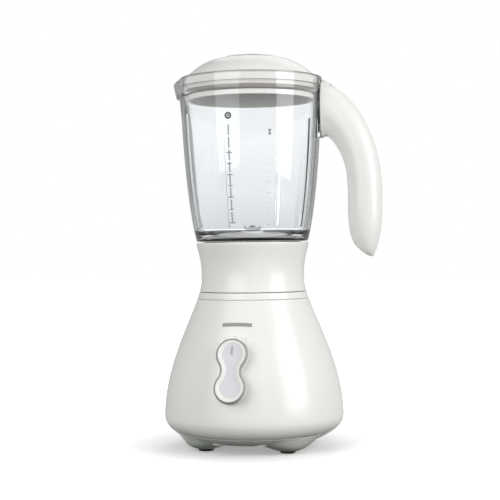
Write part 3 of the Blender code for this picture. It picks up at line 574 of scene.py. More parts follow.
class KitchenFinishSettings(PropertyGroup):
    """Colours and gloss"""

    body_colour: FloatVectorProperty(
        name="Body", description="Colour of the white mouldings",
        subtype="COLOR", default=(0.86, 0.86, 0.835), min=0, max=1
    )
    body_shade: FloatVectorProperty(
        name="Body shade", description="Second colour of the mouldings' faint drift",
        subtype="COLOR", default=(0.84, 0.845, 0.82), min=0, max=1
    )
    body_roughness: FloatProperty(
        name="Body roughness", description="Roughness of the white mouldings", default=0.24, min=0, max=1
    )
    clear_colour: FloatVectorProperty(
        name="Clear", description="Colour of the clear plastic seen face-on",
        subtype="COLOR", default=(0.965, 0.98, 0.99), min=0, max=1
    )
    # painted shade: the clear plastic's colour near the floor, darker than face-on
    clear_low_shade: FloatVectorProperty(
        name="Clear, low", description="Colour of the clear plastic near the floor",
        subtype="COLOR", default=(0.775, 0.80, 0.81), min=0, max=1
    )
    # painted reflection: the clear plastic's darkest colour, where it is seen edge-on
    clear_edge_shade: FloatVectorProperty(
        name="Clear edge", description="Colour of the clear plastic seen edge-on",
        subtype="COLOR", default=(0.12, 0.125, 0.125), min=0, max=1
    )


class KitchenStageSettings(PropertyGroup):
    """Camera and light"""

    camera_distance: FloatProperty(
        name="Camera distance", description="Camera's distance from the upright axis",
        default=1.22, unit="LENGTH"
    )
    camera_azimuth: FloatProperty(
        name="Camera azimuth", description="How far the camera stands to the right of the front",
        default=math.radians(14), subtype="ANGLE"
    )
    camera_height: FloatProperty(
        name="Camera height", description="Camera's height", default=0.195, unit="LENGTH"
    )
    key_power: FloatProperty(
        name="Key light", description="Power of the tall soft box at the right, in watts", default=17.0
    )
    top_power: FloatProperty(
        name="Top light", description="Power of the soft box overhead, in watts", default=1.5
    )
    fill_power: FloatProperty(
        name="Fill light", description="Power of the soft box at the left, in watts", default=10.5
    )
    back_power: FloatProperty(
        name="Back light", description="Power of the soft box behind, in watts", default=4.0
    )


class KitchenBlenderSettings(PropertyGroup):
    """All settings of the countertop blender"""

    body: PointerProperty(type=KitchenBodySettings)
    dial: PointerProperty(type=KitchenDialSettings)
    goblet: PointerProperty(type=KitchenGobletSettings)
    finish: PointerProperty(type=KitchenFinishSettings)
    stage: PointerProperty(type=KitchenStageSettings)


def settings():
    return bpy.context.scene.countertop_blender


# The power unit


def flank(body, points=40):
    """The power unit's side above its widest place, as (radius, height)."""
    shoulder = COLLAR_LOW - 0.3 * MM
    return curve(
        (BASE_RADIUS, body.widest_height),
        (BASE_RADIUS - 1.0 * MM, body.lower_pull),
        (body.shoulder_radius + 9.1 * MM, 0.1223),
        (body.shoulder_radius, shoulder),
        points,
    )


def radius_at(outline, height):
    """The outline's radius at a height, along an outline that rises."""
    for low, high in zip(outline, outline[1:]):
        if low.y <= height <= high.y:
            return low.x + (high.x - low.x) * (height - low.y) / max(high.y - low.y, 1e-9)
    return outline[-1].x


def dial_frame():
    """The dial's own frame: local Z points out of the housing along its hinge, local Y up."""
    hinge = JOINTS["speed_knob_turn"]
    outwards = Vector(hinge["axis"]).normalized()
    sideways = Vector((1, 0, 0))
    upwards = outwards.cross(sideways)
    turn = Matrix((sideways, upwards, outwards)).transposed().to_4x4()
    return Matrix.Translation(hinge["pos_m"]) @ turn


def gland_frame():
    """The gland's own frame: local Z points out of the housing's back."""
    low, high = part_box("cord_gland")
    place = Vector(((low.x + high.x) / 2, high.y - GLAND_REACH, (low.z + high.z) / 2))
    return Matrix.Translation(place) @ Matrix.Rotation(math.radians(-90), 4, "X")


class KITCHEN_OT_upper_housing(Operator):
    """Models the pear-shaped upper housing with its deck, spindle hole and gland hole"""

    bl_idname = "kitchen.upper_housing"
    bl_label = "Upper Housing"

    def execute(self, context):
        body = settings().body
        side = [point for point in flank(body) if point.y < HOUSING_DECK - 1.4 * MM]
        lower = curve(
            (0.0773, COVER_TOP), (0.0826, 0.0205), (BASE_RADIUS, 0.0262),
            (BASE_RADIUS, body.widest_height), 10
        )
        deck_edge = radius_at(flank(body), HOUSING_DECK)
        outer = rounded(
            [(lower[0].x - 0.6 * MM, COVER_TOP), (*lower[0], 0.4 * MM), *[tuple(p) for p in lower[1:]]]
        )
        outer += side[1:] + rounded(
            [tuple(side[-1]), (deck_edge, HOUSING_DECK, 0.5 * MM), (DECK_WELL, HOUSING_DECK)]
        )[1:-1]
        wall_side = inset_outline(lower[1:] + side[1:], body.wall)
        inner = [(DECK_WELL, HOUSING_DECK, 0.4 * MM), (DECK_WELL, HOUSING_DECK - body.wall, 0.4 * MM)]
        inner = rounded([(0.04, HOUSING_DECK)] + inner + [(0.04, HOUSING_DECK - body.wall)])[1:-1]
        inner += [Vector((wall_side[-1].x - 2 * MM, HOUSING_DECK - body.wall))]
        inner += [point for point in wall_side[::-1] if point.y < HOUSING_DECK - body.wall - 2 * MM]
        inner += [Vector((0.0735, COVER_TOP))]
        outline = list(outer) + inner + [outer[0]]
        housing = turned("housing_shell", outline, steps=144)
        cut_or_join(housing, "DIFFERENCE", self.holes())
        settle(housing)
        ride(housing, "power_unit", "gloss_white", "upper_housing")
        return {"FINISHED"}

    def holes(self):
        """Tools for the spindle's hole, the gland's hole and the interlock pin's hole."""
        spindle = rod("spindle_hole", 0.0054, -0.010, 0.008, 32)
        spindle.data.transform(dial_frame())
        gland = rod("gland_hole", 0.0063, -0.010, 0.010, 32)
        gland.data.transform(gland_frame())
        return [spindle, gland, stand_at(rod("pin_hole", PIN_HOLE, 0.136, 0.147), "interlock_pin")]


class KITCHEN_OT_base_cover(Operator):
    """Models the dished underside with four foot lobes, vents, screw wells and a centre pad"""

    bl_idname = "kitchen.base_cover"
    bl_label = "Base Cover"

    def execute(self, context):
        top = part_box("base_cover")[1].z
        pad_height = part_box("base_cover")[0].z
        plate, plate_edge = 8.9 * MM, 57 * MM
        rim = curve((0.0767, top - 0.3 * MM), (0.0718, 0.0139), (0.0655, 0.0099), (plate_edge, plate), 14)
        floor = [Vector((plate_edge * step / 14, plate)) for step in range(13, 1, -1)]
        pad = rounded(
            [(0.012, plate), (0.0078, plate, 1.5 * MM), (0.0062, pad_height, 0.8 * MM), (0, pad_height)]
        )
        inside = [
            (0, 0.0115), (0.030, 0.0115), (0.0560, 0.0115, 4 * MM), (0.0680, 0.0148, 4 * MM),
            (0.0726, top, 0.4 * MM)
        ]
        outline = rim + floor + pad[1:] + rounded(inside) + rounded(
            [(0.07, top), (0.0767, top, 0.3 * MM), (0.0718, 0.0139)]
        )[1:-1]
        cover = turned("base_shell", outline + [rim[0]], steps=144, angle=40)
        self.swell_lobes(cover, top, plate, plate_edge)
        cut_or_join(cover, "UNION", [self.screw_posts(top)])
        cut_or_join(cover, "DIFFERENCE", self.cutters())
        settle(cover, 40)
        ride(cover, "power_unit", "gloss_white", "base_cover", finish="underside")
        return {"FINISHED"}

    def swell_lobes(self, cover, top, plate, plate_edge):
        """Draws the underside down around each foot, with a smooth edge. The seam at the top stays level."""
        lobe_height, flat, reach = 2.4 * MM, 9.5 * MM, 30 * MM
        for vertex in cover.data.vertices:
            out = math.hypot(vertex.co.x, vertex.co.y)
            if vertex.co.z > plate + 1.3 * MM + 23.5 * max(0, out - plate_edge) ** 2:
                continue
            hold = min(1, (top - vertex.co.z) / (5 * MM))
            for node in FOOT_NODES:
                foot = middle_of(node)
                distance = math.hypot(vertex.co.x - foot.x, vertex.co.y - foot.y)
                t = min(1, max(0, (reach - distance) / (reach - flat)))
                share = hold * t * (0.6 + 0.4 * t * (3 - 2 * t))
                vertex.co.z -= share * max(0, vertex.co.z - lobe_height)

    def screw_posts(self, top):
        """The posts that the screws' heads pull against the housing."""
        section = rounded([(0, 0.0102), (6.2 * MM, 0.0102), (6.2 * MM, top, 0.5 * MM), (0, top)])
        return joined("posts", [stand_at(turned("post", section, 32), node) for node in SCREW_NODES])

    def cutters(self):
        tools = []
        slot = block("vent", (0.034, -1.4 * MM, 0.004), (0.055, 1.4 * MM, 0.016), 1.2 * MM)
        for side in range(4):
            for step in (-1, 0, 1):
                tools.append(copy_turned(slot, math.radians(90 * side + 9 * step)))
        bpy.data.objects.remove(slot)
        vents = joined("vents", tools)
        head, shank = 4.3 * MM, 2.4 * MM
        section = [(0, 0.004), (head, 0.004), (head, 0.0123), (shank, 0.0125), (shank, 0.022), (0, 0.022)]
        wells = [stand_at(turned("well", section, 32), node) for node in SCREW_NODES]
        wells += [stand_at(rod("foot_hole", 3.2 * MM, 0.001, 0.0090), node) for node in FOOT_NODES]
        return [vents, joined("wells", wells)]


class KITCHEN_OT_seat_ring(Operator):
    """Models the ring under the collar, with the raised seat that the collar drops over"""

    bl_idname = "kitchen.seat_ring"
    bl_label = "Seat Ring"

    def execute(self, context):
        body = settings().body
        side = flank(body)
        band_top = COLLAR_LOW + SEAM_LIFT - 0.6 * MM
        low_radius = radius_at(side, RING_LOW) - 0.15 * MM
        high_radius = radius_at(side, band_top) - 0.15 * MM
        corners = [(0.0235, RING_LOW), (low_radius, RING_LOW, 0.5 * MM), (high_radius, band_top, 0.7 * MM)]
        corners += [
            (0.0442, band_top, 0.8 * MM), (0.0430, RING_HIGH, 1.0 * MM),
            (0.0245, RING_HIGH, 0.6 * MM)
        ]
        corners += [(0.0235, RING_HIGH - 2 * MM)]
        ring = hoop("seat_ring", corners, 144)
        cut_or_join(ring, "DIFFERENCE", [stand_at(rod("pin_hole", PIN_HOLE, 0.140, 0.162), "interlock_pin")])
        settle(ring)
        ride(ring, "power_unit", "gloss_white", "shoulder_ring")
        return {"FINISHED"}


class KITCHEN_OT_feet_and_screws(Operator):
    """Models one rubber foot and one cross-head screw, and copies each to its four places"""

    bl_idname = "kitchen.feet_and_screws"
    bl_label = "Feet and Base Screws"

    def execute(self, context):
        self.feet()
        self.screws()
        return {"FINISHED"}

    def feet(self):
        radius = (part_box("foot_1")[1].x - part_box("foot_1")[0].x) / 2
        corners = [(0, 0), (radius - 1.2 * MM, 0, 0.8 * MM), (radius - 0.4 * MM, 1.2 * MM, 0.5 * MM)]
        corners += [
            (radius - 0.7 * MM, 1.6 * MM, 0.2 * MM), (radius, 2.2 * MM, 0.3 * MM),
            (radius, 3.1 * MM, 0.2 * MM)
        ]
        corners += [(3.0 * MM, 3.1 * MM), (2.9 * MM, 8.0 * MM, 0.5 * MM), (0, 8.5 * MM)]
        first = turned("foot", rounded(corners), 48)
        for number, node in enumerate(FOOT_NODES, 1):
            self.copy_to(first, f"rubber_foot_{number}", node, "black_rubber")
        bpy.data.objects.remove(first)

    def screws(self):
        low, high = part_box("base_screw_1")
        head = (high.x - low.x) / 2
        corners = [(0, low.z), (head - 1.2 * MM, low.z, 0.5 * MM), (head, low.z + 1.0 * MM, 0.6 * MM)]
        corners += [
            (head, low.z + 2.4 * MM, 0.2 * MM), (1.8 * MM, low.z + 2.4 * MM),
            (1.8 * MM, high.z - 3 * MM), (0.3 * MM, high.z), (0, high.z)
        ]
        first = turned("screw", rounded(corners), 32)
        cross = [block("slot", (-2.3 * MM, -0.45 * MM, low.z - MM), (2.3 * MM, 0.45 * MM, low.z + 1.1 * MM))]
        cross.append(copy_turned(cross[0], math.radians(90)))
        cut_or_join(first, "DIFFERENCE", cross)
        settle(first)
        for number, node in enumerate(SCREW_NODES, 1):
            self.copy_to(first, f"cover_screw_{number}", node, "steel")
        bpy.data.objects.remove(first)

    def copy_to(self, first, name, node, slot):
        ride(stand_at(copy_turned(first, 0.4 * len(node), name), node), "power_unit", slot, node)


class KITCHEN_OT_cord_gland(Operator):
    """Models the gland at the back with its stepped flange"""

    bl_idname = "kitchen.cord_gland"
    bl_label = "Cord Gland"

    def execute(self, context):
        low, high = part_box("cord_gland")
        radius = (high.x - low.x) / 2
        corners = [(3.2 * MM, -6.0 * MM), (6.0 * MM, -6.0 * MM, 0.4 * MM), (6.0 * MM, 3.0 * MM)]
        corners += [
            (radius, 3.0 * MM, 0.4 * MM), (radius - 0.4 * MM, 4.8 * MM, 0.8 * MM),
            (5.4 * MM, 5.0 * MM, 0.4 * MM)
        ]
        corners += [(4.6 * MM, 5.8 * MM, 0.4 * MM), (3.2 * MM, 5.8 * MM, 0.6 * MM)]
        gland = hoop("cord_bush", corners, 48)
        gland.data.transform(gland_frame())
        ride(gland, "power_unit", "black_plastic", "cord_gland")
        return {"FINISHED"}


def two_lobes(lobe, waist, half, height):
    """Two round lobes joined by a waist whose hollow sides touch both, at one height."""
    hollow = (waist**2 + half**2 - lobe**2) / (2 * (lobe - waist))
    side = waist + hollow
    touch = math.atan2(half, side)

    def arc(x, y, radius, start, end, points):
        angles = [start + (end - start) * step / points for step in range(points + 1)]
        return [Vector((x + radius * math.cos(a), y + radius * math.sin(a), height)) for a in angles]

    ring = arc(0, half, lobe, -touch, math.pi + touch, 28)
    ring += arc(-side, 0, hollow, touch, -touch, 8)[1:-1]
    ring += arc(0, -half, lobe, math.pi - touch, FULL_TURN + touch, 28)
    ring += arc(side, 0, hollow, math.pi + touch, math.pi - touch, 8)[1:-1]
    return ring


class KITCHEN_OT_speed_dial(Operator):
    """Models the two-lobed dial with a sunk, sloping face and its pointer"""

    bl_idname = "kitchen.speed_dial"
    bl_label = "Speed Dial"

    def execute(self, context):
        dial = settings().dial
        half, top = dial.spacing / 2, 0.7 * MM + dial.depth
        profile = (
            (0.9, 0.7), (0.9, 2.2), (0, 2.4), (0, 7.4), (0.25, 8.7), (0.9, 9.7), (1.9, 10.2),
            (3.0, 10.1), (4.2, 9.3), (5.2, 8.7), (7.0, 8.3), (8.6, 8.15)
        )
        knob = self.lobed("speed_dial", dial, profile, top)
        cut_or_join(knob, "DIFFERENCE", [rod("spindle_bore", 3.3 * MM, -0.001, 6.5 * MM)])
        settle(knob, 40)
        # painted shadow: a thin grey ring round the dial's rim stands in for the shadow of the gap round it
        profile = (
            (1.5, 6.8), (0.2, 7.1), (-0.45, 7.5), (-0.35, 8.9), (0.45, 9.95), (
                1.25, 10.32
            ), (1.7, 9.4), (1.9, 7.6)
        )
        line = self.lobed("dial_shadow_line", dial, profile)
        # painted shade: a pale lilac-grey face stands in for the shade in the dial's sunk face
        face = self.lobed(
            "dial_face", dial, ((7.0, 7.4), (5.2, 8.55), (5.35, 8.78), (7.2, 8.48), (8.6, 8.32))
        )
        pointer = block(
            "dial_pointer", (-0.7 * MM, half - 0.5 * MM, 7.6 * MM),
            (0.7 * MM, half + 7.6 * MM, 8.95 * MM), 0.3 * MM
        )
        for piece in (knob, line, face, pointer):
            piece.data.transform(dial_frame())
        ride(knob, "speed_knob", "gloss_white", "speed_knob")
        ride(pointer, "speed_knob", "gloss_white", finish="print_soft")
        ride(line, "speed_knob", "gloss_white", finish="print_grey")
        ride(face, "speed_knob", "gloss_white", finish="inlay")
        return {"FINISHED"}

    def lobed(self, name, dial, profile, top=math.inf):
        """Two-lobed rings skinned over (how far inwards, height), in millimetres."""
        rings = []
        for inwards, height in profile:
            lobe, waist = dial.lobe - inwards * MM, dial.waist - inwards * MM
            rings.append(two_lobes(lobe, waist, dial.spacing / 2, min(height * MM, top)))
        return skinned(name, rings, 40)


def printed(name, marks, surface, body, slot, finish):
    """Thin printed marks laid on a surface: wrapped onto it, then given the print's thickness."""
    print_piece = joined(name, marks)
    apply_modifier(
        print_piece, "SHRINKWRAP", target=surface, wrap_method="NEAREST_SURFACEPOINT",
        wrap_mode="ABOVE_SURFACE", offset=0.06 * MM
    )
    apply_modifier(print_piece, "SOLIDIFY", thickness=0.10 * MM, offset=1.0)
    pick(print_piece)
    bpy.ops.object.shade_smooth_by_angle(angle=math.radians(40))
    ride(print_piece, body, slot, finish=finish)


def flat_mark(width, height, place, cuts=6):
    """A flat rectangle of the given size, cut finely enough to follow a curve. place is its frame."""
    let_go()
    bpy.ops.mesh.primitive_plane_add(size=1, enter_editmode=True)
    bpy.ops.transform.resize(value=(width, height, 1), center_override=(0, 0, 0))
    bpy.ops.mesh.subdivide(number_cuts=cuts)
    bpy.ops.object.mode_set(mode="OBJECT")
    mark = bpy.context.object
    mark.data.transform(place)
    return mark


def flat_disc(radius, place, inner=0.0):
    """A flat disc or ring of the given radius."""
    let_go()
    bpy.ops.mesh.primitive_circle_add(vertices=28, radius=radius, fill_type="NGON", enter_editmode=True)
    bpy.ops.mesh.inset(thickness=(radius - inner) * 0.5)
    bpy.ops.mesh.inset(thickness=(radius - inner) * 0.5 if inner else radius * 0.3)
    if inner:
        bpy.ops.mesh.delete(type="FACE")
    bpy.ops.object.mode_set(mode="OBJECT")
    disc = bpy.context.object
    disc.data.transform(place)
    return disc


class KITCHEN_OT_body_marks(Operator):
    """Prints the dial's position marks and a plain dash on the housing"""

    bl_idname = "kitchen.body_marks"
    bl_label = "Body Marks"

    def execute(self, context):
        dial = settings().dial
        housing = bpy.data.objects["housing_shell"]
        radius = dial.spacing / 2 + dial.lobe + 4.2 * MM
        marks = []
        for position in range(-2, 3):
            angle = math.radians(90 + 17 * position)
            place = Matrix.Translation((radius * math.cos(angle), radius * math.sin(angle), 0))
            marks.append(flat_disc(0.75 * MM if position else 1.1 * MM, dial_frame() @ place))
        printed("dial_marks", marks, housing, "power_unit", "gloss_white", "inlay")
        height = JOINTS["speed_knob_turn"]["pos_m"][2] + 43.6 * MM
        reach = radius_at(flank(settings().body), height)
        place = Matrix.Translation((0, -reach - 0.5 * MM, height)) @ Matrix.Rotation(math.radians(70), 4, "X")
        dash = [flat_mark(29 * MM, 3.6 * MM, place, 10)]
        printed("plain_dash", dash, housing, "power_unit", "gloss_white", "print_grey")
        return {"FINISHED"}


# The blade unit


class KITCHEN_OT_collar(Operator):
    """Models the waisted collar, the blade hub and the sealing ring inside it"""

    bl_idname = "kitchen.collar"
    bl_label = "Collar"

    def execute(self, context):
        self.collar()
        self.hub()
        self.seal()
        return {"FINISHED"}

    def collar(self):
        inner, shelf = 0.0472, 0.1706
        low = COLLAR_LOW + SEAM_LIFT
        side = curve((0.0521, low), (0.0456, 0.175), (0.0553, 0.195), (COLLAR_RADIUS, COLLAR_HIGH), 28)
        foot = rounded([(0.0490, low), (side[0].x, low, 0.6 * MM), tuple(side[2])])
        lip = rounded(
            [
                tuple(side[-3]), (COLLAR_RADIUS, COLLAR_HIGH, 0.9 * MM),
                (inner, COLLAR_HIGH, 0.6 * MM), (inner, HUB_SEAT)
            ]
        )
        inside = [
            (inner, shelf + 3 * MM, 0.8 * MM), (0.030, shelf + 3 * MM, 0.6 * MM),
            (0.030, shelf, 0.6 * MM)
        ]
        inside += [(inner, shelf, 1.5 * MM), (inner, 0.1600, 1.5 * MM)]
        outline = foot + side[3:-3] + lip[1:-1] + rounded(
            [(inner, HUB_SEAT)] + inside + [(0.0490, low)]
        )[1:-1]
        collar = turned("collar_shell", list(outline) + [outline[0]], steps=144)
        presser = rounded(
            [(0, 0.1588), (3.5 * MM, 0.1588, 0.6 * MM), (3.5 * MM, shelf + MM), (0, shelf + MM)]
        )
        cut_or_join(collar, "UNION", [stand_at(turned("presser", presser, 24), "interlock_pin")])
        settle(collar)
        ride(collar, "blade_unit", "gloss_white", "blade_collar")

    def hub(self):
        low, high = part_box("blade_hub")
        flange, bore = low.z + 3.3 * MM, 7.3 * MM
        corners = [
            (36.0, low.z), (high.x / MM, low.z, 0.5), (high.x / MM, flange, 0.5),
            (39.8, flange + 0.4 * MM, 1.2)
        ]
        corners += [
            (38.4, 0.1925, 3.0), (33.0, 0.1968, 3.0), (16.0, 0.1985, 2.5), (11.6, 0.2005, 1.2),
            (11.0, high.z, 0.6)
        ]
        corners += [
            (bore / MM, high.z), (bore / MM, 0.1715), (11.0, 0.1715, 0.5), (12.0, 0.1925, 1.0),
            (33.0, 0.1930, 1.5)
        ]
        corners += [(35.5, 0.1905, 1.5)]
        hub = hoop(
            "hub_dome",
            [(corner[0] * MM, corner[1], *[c * MM for c in corner[2:]]) for corner in corners]
        )
        ride(hub, "blade_unit", "gloss_white", "blade_hub")

    def seal(self):
        low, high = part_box("sealing_ring")
        inner = 40.4 * MM
        corners = [
            (inner, low.z, 0.7 * MM), (high.x, low.z, 0.7 * MM), (high.x, high.z, 0.7 * MM),
            (inner, high.z, 0.7 * MM)
        ]
        seal = hoop("goblet_seal", corners)
        ride(seal, "blade_unit", "grey_rubber", "sealing_ring")


class KITCHEN_OT_blades(Operator):
    """Models the two crossed blades with ground edges, their shaft and the domed nut"""

    bl_idname = "kitchen.blades"
    bl_label = "Blades"

    def execute(self, context):
        self.blade("ground_blade_low", "lower_blade", 0.0250, 0.2045, -1.2 * MM, math.radians(35))
        self.blade("ground_blade_high", "upper_blade", 0.0215, 0.2064, 7.5 * MM, math.radians(125))
        self.nut()
        self.shaft()
        return {"FINISHED"}

    def blade(self, name, node, reach, height, rise, turn):
        thickness = 1.6 * MM
        ring = [
            (3.4 * MM, height), (6.4 * MM, height, 0.2 * MM),
            (6.4 * MM, height + thickness, 0.2 * MM), (3.4 * MM, height + thickness)
        ]
        plate = hoop(name, ring, 48)
        first = self.arm(reach, height, rise, thickness)
        second = copy_turned(first, math.pi)
        cut_or_join(plate, "UNION", [first, second])
        settle(plate, 20)
        plate.data.transform(Matrix.Rotation(turn, 4, "Z"))
        ride(plate, "blade_rotor", "steel", node)

    def arm(self, reach, height, rise, thickness):
        """One arm, from the flat middle to its bent tip, ground to a thin edge on its leading side."""
        stations = (
            (5.2, 0.0, 3.1), (8.7, 0.0, 3.0), (10.0, 0.10, 2.9), (12.0, 0.27, 2.7),
            (17.0, 0.62, 2.1), (reach / MM, 1.0, 1.1)
        )
        rings = []
        for along, climb, half in stations:
            lift = height + rise * climb
            edge = thickness * (0.15 if along > 9.9 else 1.0)
            section = [
                (-half, 0), (half * 0.35, 0), (half, 0), (half, edge / MM),
                (half * 0.35, thickness / MM), (-half, thickness / MM)
            ]
            rings.append([Vector((along * MM, y * MM, lift + z * MM)) for y, z in section])
        return skinned("arm", rings, 20)

    def nut(self):
        low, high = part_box("blade_nut")
        hexagon = turned(
            "dome_nut",
            [
                (3.9 * MM, low.z), (6.0 * MM, low.z), (6.0 * MM, low.z + 3.4 * MM),
                (3.9 * MM, low.z + 3.4 * MM), (3.9 * MM, low.z)
            ],
            6
        )
        apply_modifier(hexagon, "BEVEL", width=0.25 * MM, segments=2, limit_method="ANGLE")
        dome = [
            (0, high.z), (2.4 * MM, high.z - 0.2 * MM, 0.8 * MM),
            (4.4 * MM, low.z + 5.4 * MM, 1.6 * MM), (4.8 * MM, low.z + 3.3 * MM)
        ]
        dome += [(3.9 * MM, low.z + 3.3 * MM), (3.9 * MM, low.z + 5.0 * MM, 0.8 * MM), (0, low.z + 5.0 * MM)]
        cut_or_join(hexagon, "UNION", [turned("dome", rounded(dome), 40)])
        settle(hexagon)
        ride(hexagon, "blade_rotor", "steel", "blade_nut")

    def shaft(self):
        low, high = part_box("blade_shaft")
        corners = [(0, low.z), (4.0 * MM, low.z, 0.5 * MM), (4.0 * MM, 0.2040, 0.2 * MM), (3.0 * MM, 0.2040)]
        corners += [(3.0 * MM, high.z, 0.6 * MM), (0, high.z)]
        shaft = turned("turned_shaft", rounded(corners), 40)
        ride(shaft, "blade_rotor", "steel", "blade_shaft")


def toothed(radius, tip, count, height, root_share=0.5, tip_share=0.42):
    """An outline with evenly spaced teeth, at one height."""
    points = []
    step = FULL_TURN / count
    for tooth in range(count):
        middle = tooth * step
        for share, reach in (
            (-root_share, radius), (-tip_share, tip), (tip_share, tip), (root_share, radius)
        ):
            angle = middle + share * step / 2
            points.append(Vector((reach * math.cos(angle), reach * math.sin(angle), height)))
    return points


class KITCHEN_OT_couplings(Operator):
    """Models the drive cup on the motor's shaft and the star that drops into it"""

    bl_idname = "kitchen.couplings"
    bl_label = "Couplings"

    def execute(self, context):
        self.cup()
        self.star()
        return {"FINISHED"}

    def cup(self):
        low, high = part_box("drive_coupling")
        bore = COUPLING_BORE
        corners = [
            (0, high.z), (high.x, high.z, 0.8 * MM), (high.x, 0.1470, 1.0 * MM),
            (9.0 * MM, 0.1440, 1.0 * MM), (9.0 * MM, low.z, 0.5 * MM),
            (bore, low.z), (bore, 0.1493), (0, 0.1493)
        ]
        cup = turned("drive_cup", rounded(corners), 64)
        rings = [toothed(9.6 * MM, 12.8 * MM, 6, height) for height in (0.1535, 0.1595)]
        rings.append(toothed(10.2 * MM, 13.4 * MM, 6, 0.1612))
        cut_or_join(cup, "DIFFERENCE", [skinned("socket", rings, 20)])
        settle(cup)
        ride(cup, "motor_rotor", "black_plastic", "drive_coupling")

    def star(self):
        low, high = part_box("driven_coupling")
        rings = [toothed(8.2 * MM, 11.2 * MM, 6, low.z, 0.40, 0.30)]
        rings += [
            toothed(8.8 * MM, 12.1 * MM, 6, height, 0.42, 0.34) for height in (low.z + 0.8 * MM, 0.1618)
        ]
        star = skinned("drive_star", rings, 20)
        corners = [
            (0, 0.1610), (15 * MM, 0.1610, 0.5 * MM), (15 * MM, 0.1650, 0.8 * MM),
            (8.5 * MM, 0.1650, 0.5 * MM)
        ]
        corners += [(8.5 * MM, high.z, 0.5 * MM), (0, high.z)]
        cut_or_join(star, "UNION", [turned("disc", rounded(corners), 64)])
        cut_or_join(star, "DIFFERENCE", [rod("bore", COUPLING_BORE, 0.1637, 0.172, 32)])
        settle(star)
        ride(star, "blade_rotor", "black_plastic", "driven_coupling")


# The goblet


def goblet_side(goblet, points=40):
    """The goblet's outer side, from its floor up to the rim band."""
    floor = COLLAR_HIGH + 1.2 * MM
    return curve(
        (0.0541, floor), (0.0580, 0.2130), (0.0657, 0.2573), (0.0686, RIM_HEIGHT - goblet.band),
        points
    )


RIB_ANGLES = (-52, 38, 128, 218)


class KITCHEN_OT_goblet(Operator):
    """Models the clear goblet: turned wall, drawn spout, four inner ribs, and the tongue for the handle"""

    bl_idname = "kitchen.goblet"
    bl_label = "Goblet"

    def execute(self, context):
        goblet = settings().goblet
        side = goblet_side(goblet)
        shell = turned("goblet_glass", self.outline(goblet, side), steps=160, angle=40)
        self.draw_spout(shell, goblet)
        first = self.rib(goblet, side)
        ribs = [copy_turned(first, math.radians(angle)) for angle in RIB_ANGLES]
        bpy.data.objects.remove(first)
        cut_or_join(shell, "UNION", ribs)
        pad = block("pad", (0.0668, -8.0 * MM, 0.2990), (0.0700, 8.0 * MM, 0.3540), 0.9 * MM)
        tongue = block("tongue", (0.0670, -2.5 * MM, 0.3060), (0.0820, 2.5 * MM, 0.3460), 1.0 * MM)
        cut_or_join(shell, "UNION", [pad, tongue, self.lug()])
        settle(shell, 40)
        ride(shell, "goblet", "clear_plastic", "goblet")
        return {"FINISHED"}

    def lug(self):
        """The clear tab that covers the top of the handle's root."""
        rings = []
        for reach, low, high, half in (
            (66.4, 347.5, 354.6, 6.6), (73.0, 347.0, 353.6, 6.4), (79.0, 344.6, 350.2, 6.0),
            (80.8, 343.4, 347.0, 5.2)
        ):
            corners = [(-half, low, 1.5), (half, low, 1.5), (half, high, 2.0), (-half, high, 2.0)]
            rings.append([Vector((reach * MM, point[0] * MM, point[1] * MM)) for point in rounded(corners)])
        return skinned("lug", rings, 30)

    def outline(self, goblet, side):
        neck, wall = 0.0467, goblet.wall
        floor, band_low = side[0].y, RIM_HEIGHT - goblet.band
        base = rounded(
            [(GOBLET_BORE, GOBLET_LOW), (neck, GOBLET_LOW, 0.6 * MM), (neck, floor - 0.4 * MM, 0.5 * MM)]
        )
        base += rounded([(neck, floor), (side[0].x, floor, 0.8 * MM), tuple(side[3])])[1:-1]
        band = [
            (side[-3].x, side[-3].y), (side[-1].x + 0.1 * MM, band_low, 0.8 * MM),
            (RIM_RADIUS, band_low + 1.4 * MM, 0.6 * MM)
        ]
        band += [(RIM_RADIUS, RIM_TOP, 0.8 * MM), (RIM_RADIUS - wall, RIM_TOP, 0.8 * MM)]
        band += [(RIM_RADIUS - wall, 0.3496, 0.4 * MM), (0.0654, 0.3496, 0.3 * MM), (0.0654, band_low)]
        inner = [
            Vector((point.x - wall, point.y))
            for point in side[::-1] if 0.2085 < point.y < band_low - 2 * MM
        ]
        bottom = rounded(
            [
                tuple(inner[-1]), (0.0486, 0.2036, 2.2 * MM), (GOBLET_BORE, 0.2010, 1.6 * MM),
                (GOBLET_BORE, GOBLET_LOW)
            ]
        )
        outline = base + side[3:-3] + rounded(band)[1:] + inner + bottom[1:-1]
        return outline + [outline[0]]

    def draw_spout(self, shell, goblet):
        """Draws the rim band out into a V-shaped lip that dips a little at its tip."""
        start = RIM_HEIGHT - goblet.band - 6 * MM
        for vertex in shell.data.vertices:
            angle = math.pi - abs(math.atan2(vertex.co.y, vertex.co.x))
            if vertex.co.z <= start or angle >= goblet.spout_half_angle * 1.25:
                continue
            lift = min((vertex.co.z - start) / (13 * MM), 1)
            lift = lift * lift * (3 - 2 * lift)
            across = angle / goblet.spout_half_angle
            drawn = (math.sqrt((1 - across) ** 2 + 0.02) + 1 - across) / 2 if across < 1.25 else 0
            drawn = max(0, drawn - 0.018)
            outwards = goblet.spout_reach * lift * drawn
            radius = math.hypot(vertex.co.x, vertex.co.y)
            vertex.co.z -= 2.5 * MM * lift * drawn
            vertex.co.x *= 1 + outwards / radius
            vertex.co.y *= 1 + outwards / radius

    def rib(self, goblet, side):
        """An upright rib that follows the inner wall and fades out under the rim."""
        half, rings = 2.2 * MM, []
        for point in side[::3]:
            if not 0.209 < point.y < 0.334:
                continue
            fade = min(1, (0.337 - point.y) / (20 * MM))
            wall = point.x - goblet.wall
            near, root = wall - goblet.rib_depth * max(fade, 0.25), wall + 1.2 * MM
            section = [(near, -half * 0.55), (root, -half * 1.15), (root, half * 1.15), (near, half * 0.55)]
            rings.append([Vector((x, y, point.y)) for x, y in section])
        rib = skinned("rib", rings, 40)
        return apply_modifier(
            rib, "BEVEL", width=0.4 * MM, segments=2, limit_method="ANGLE",
            angle_limit=math.radians(50)
        )


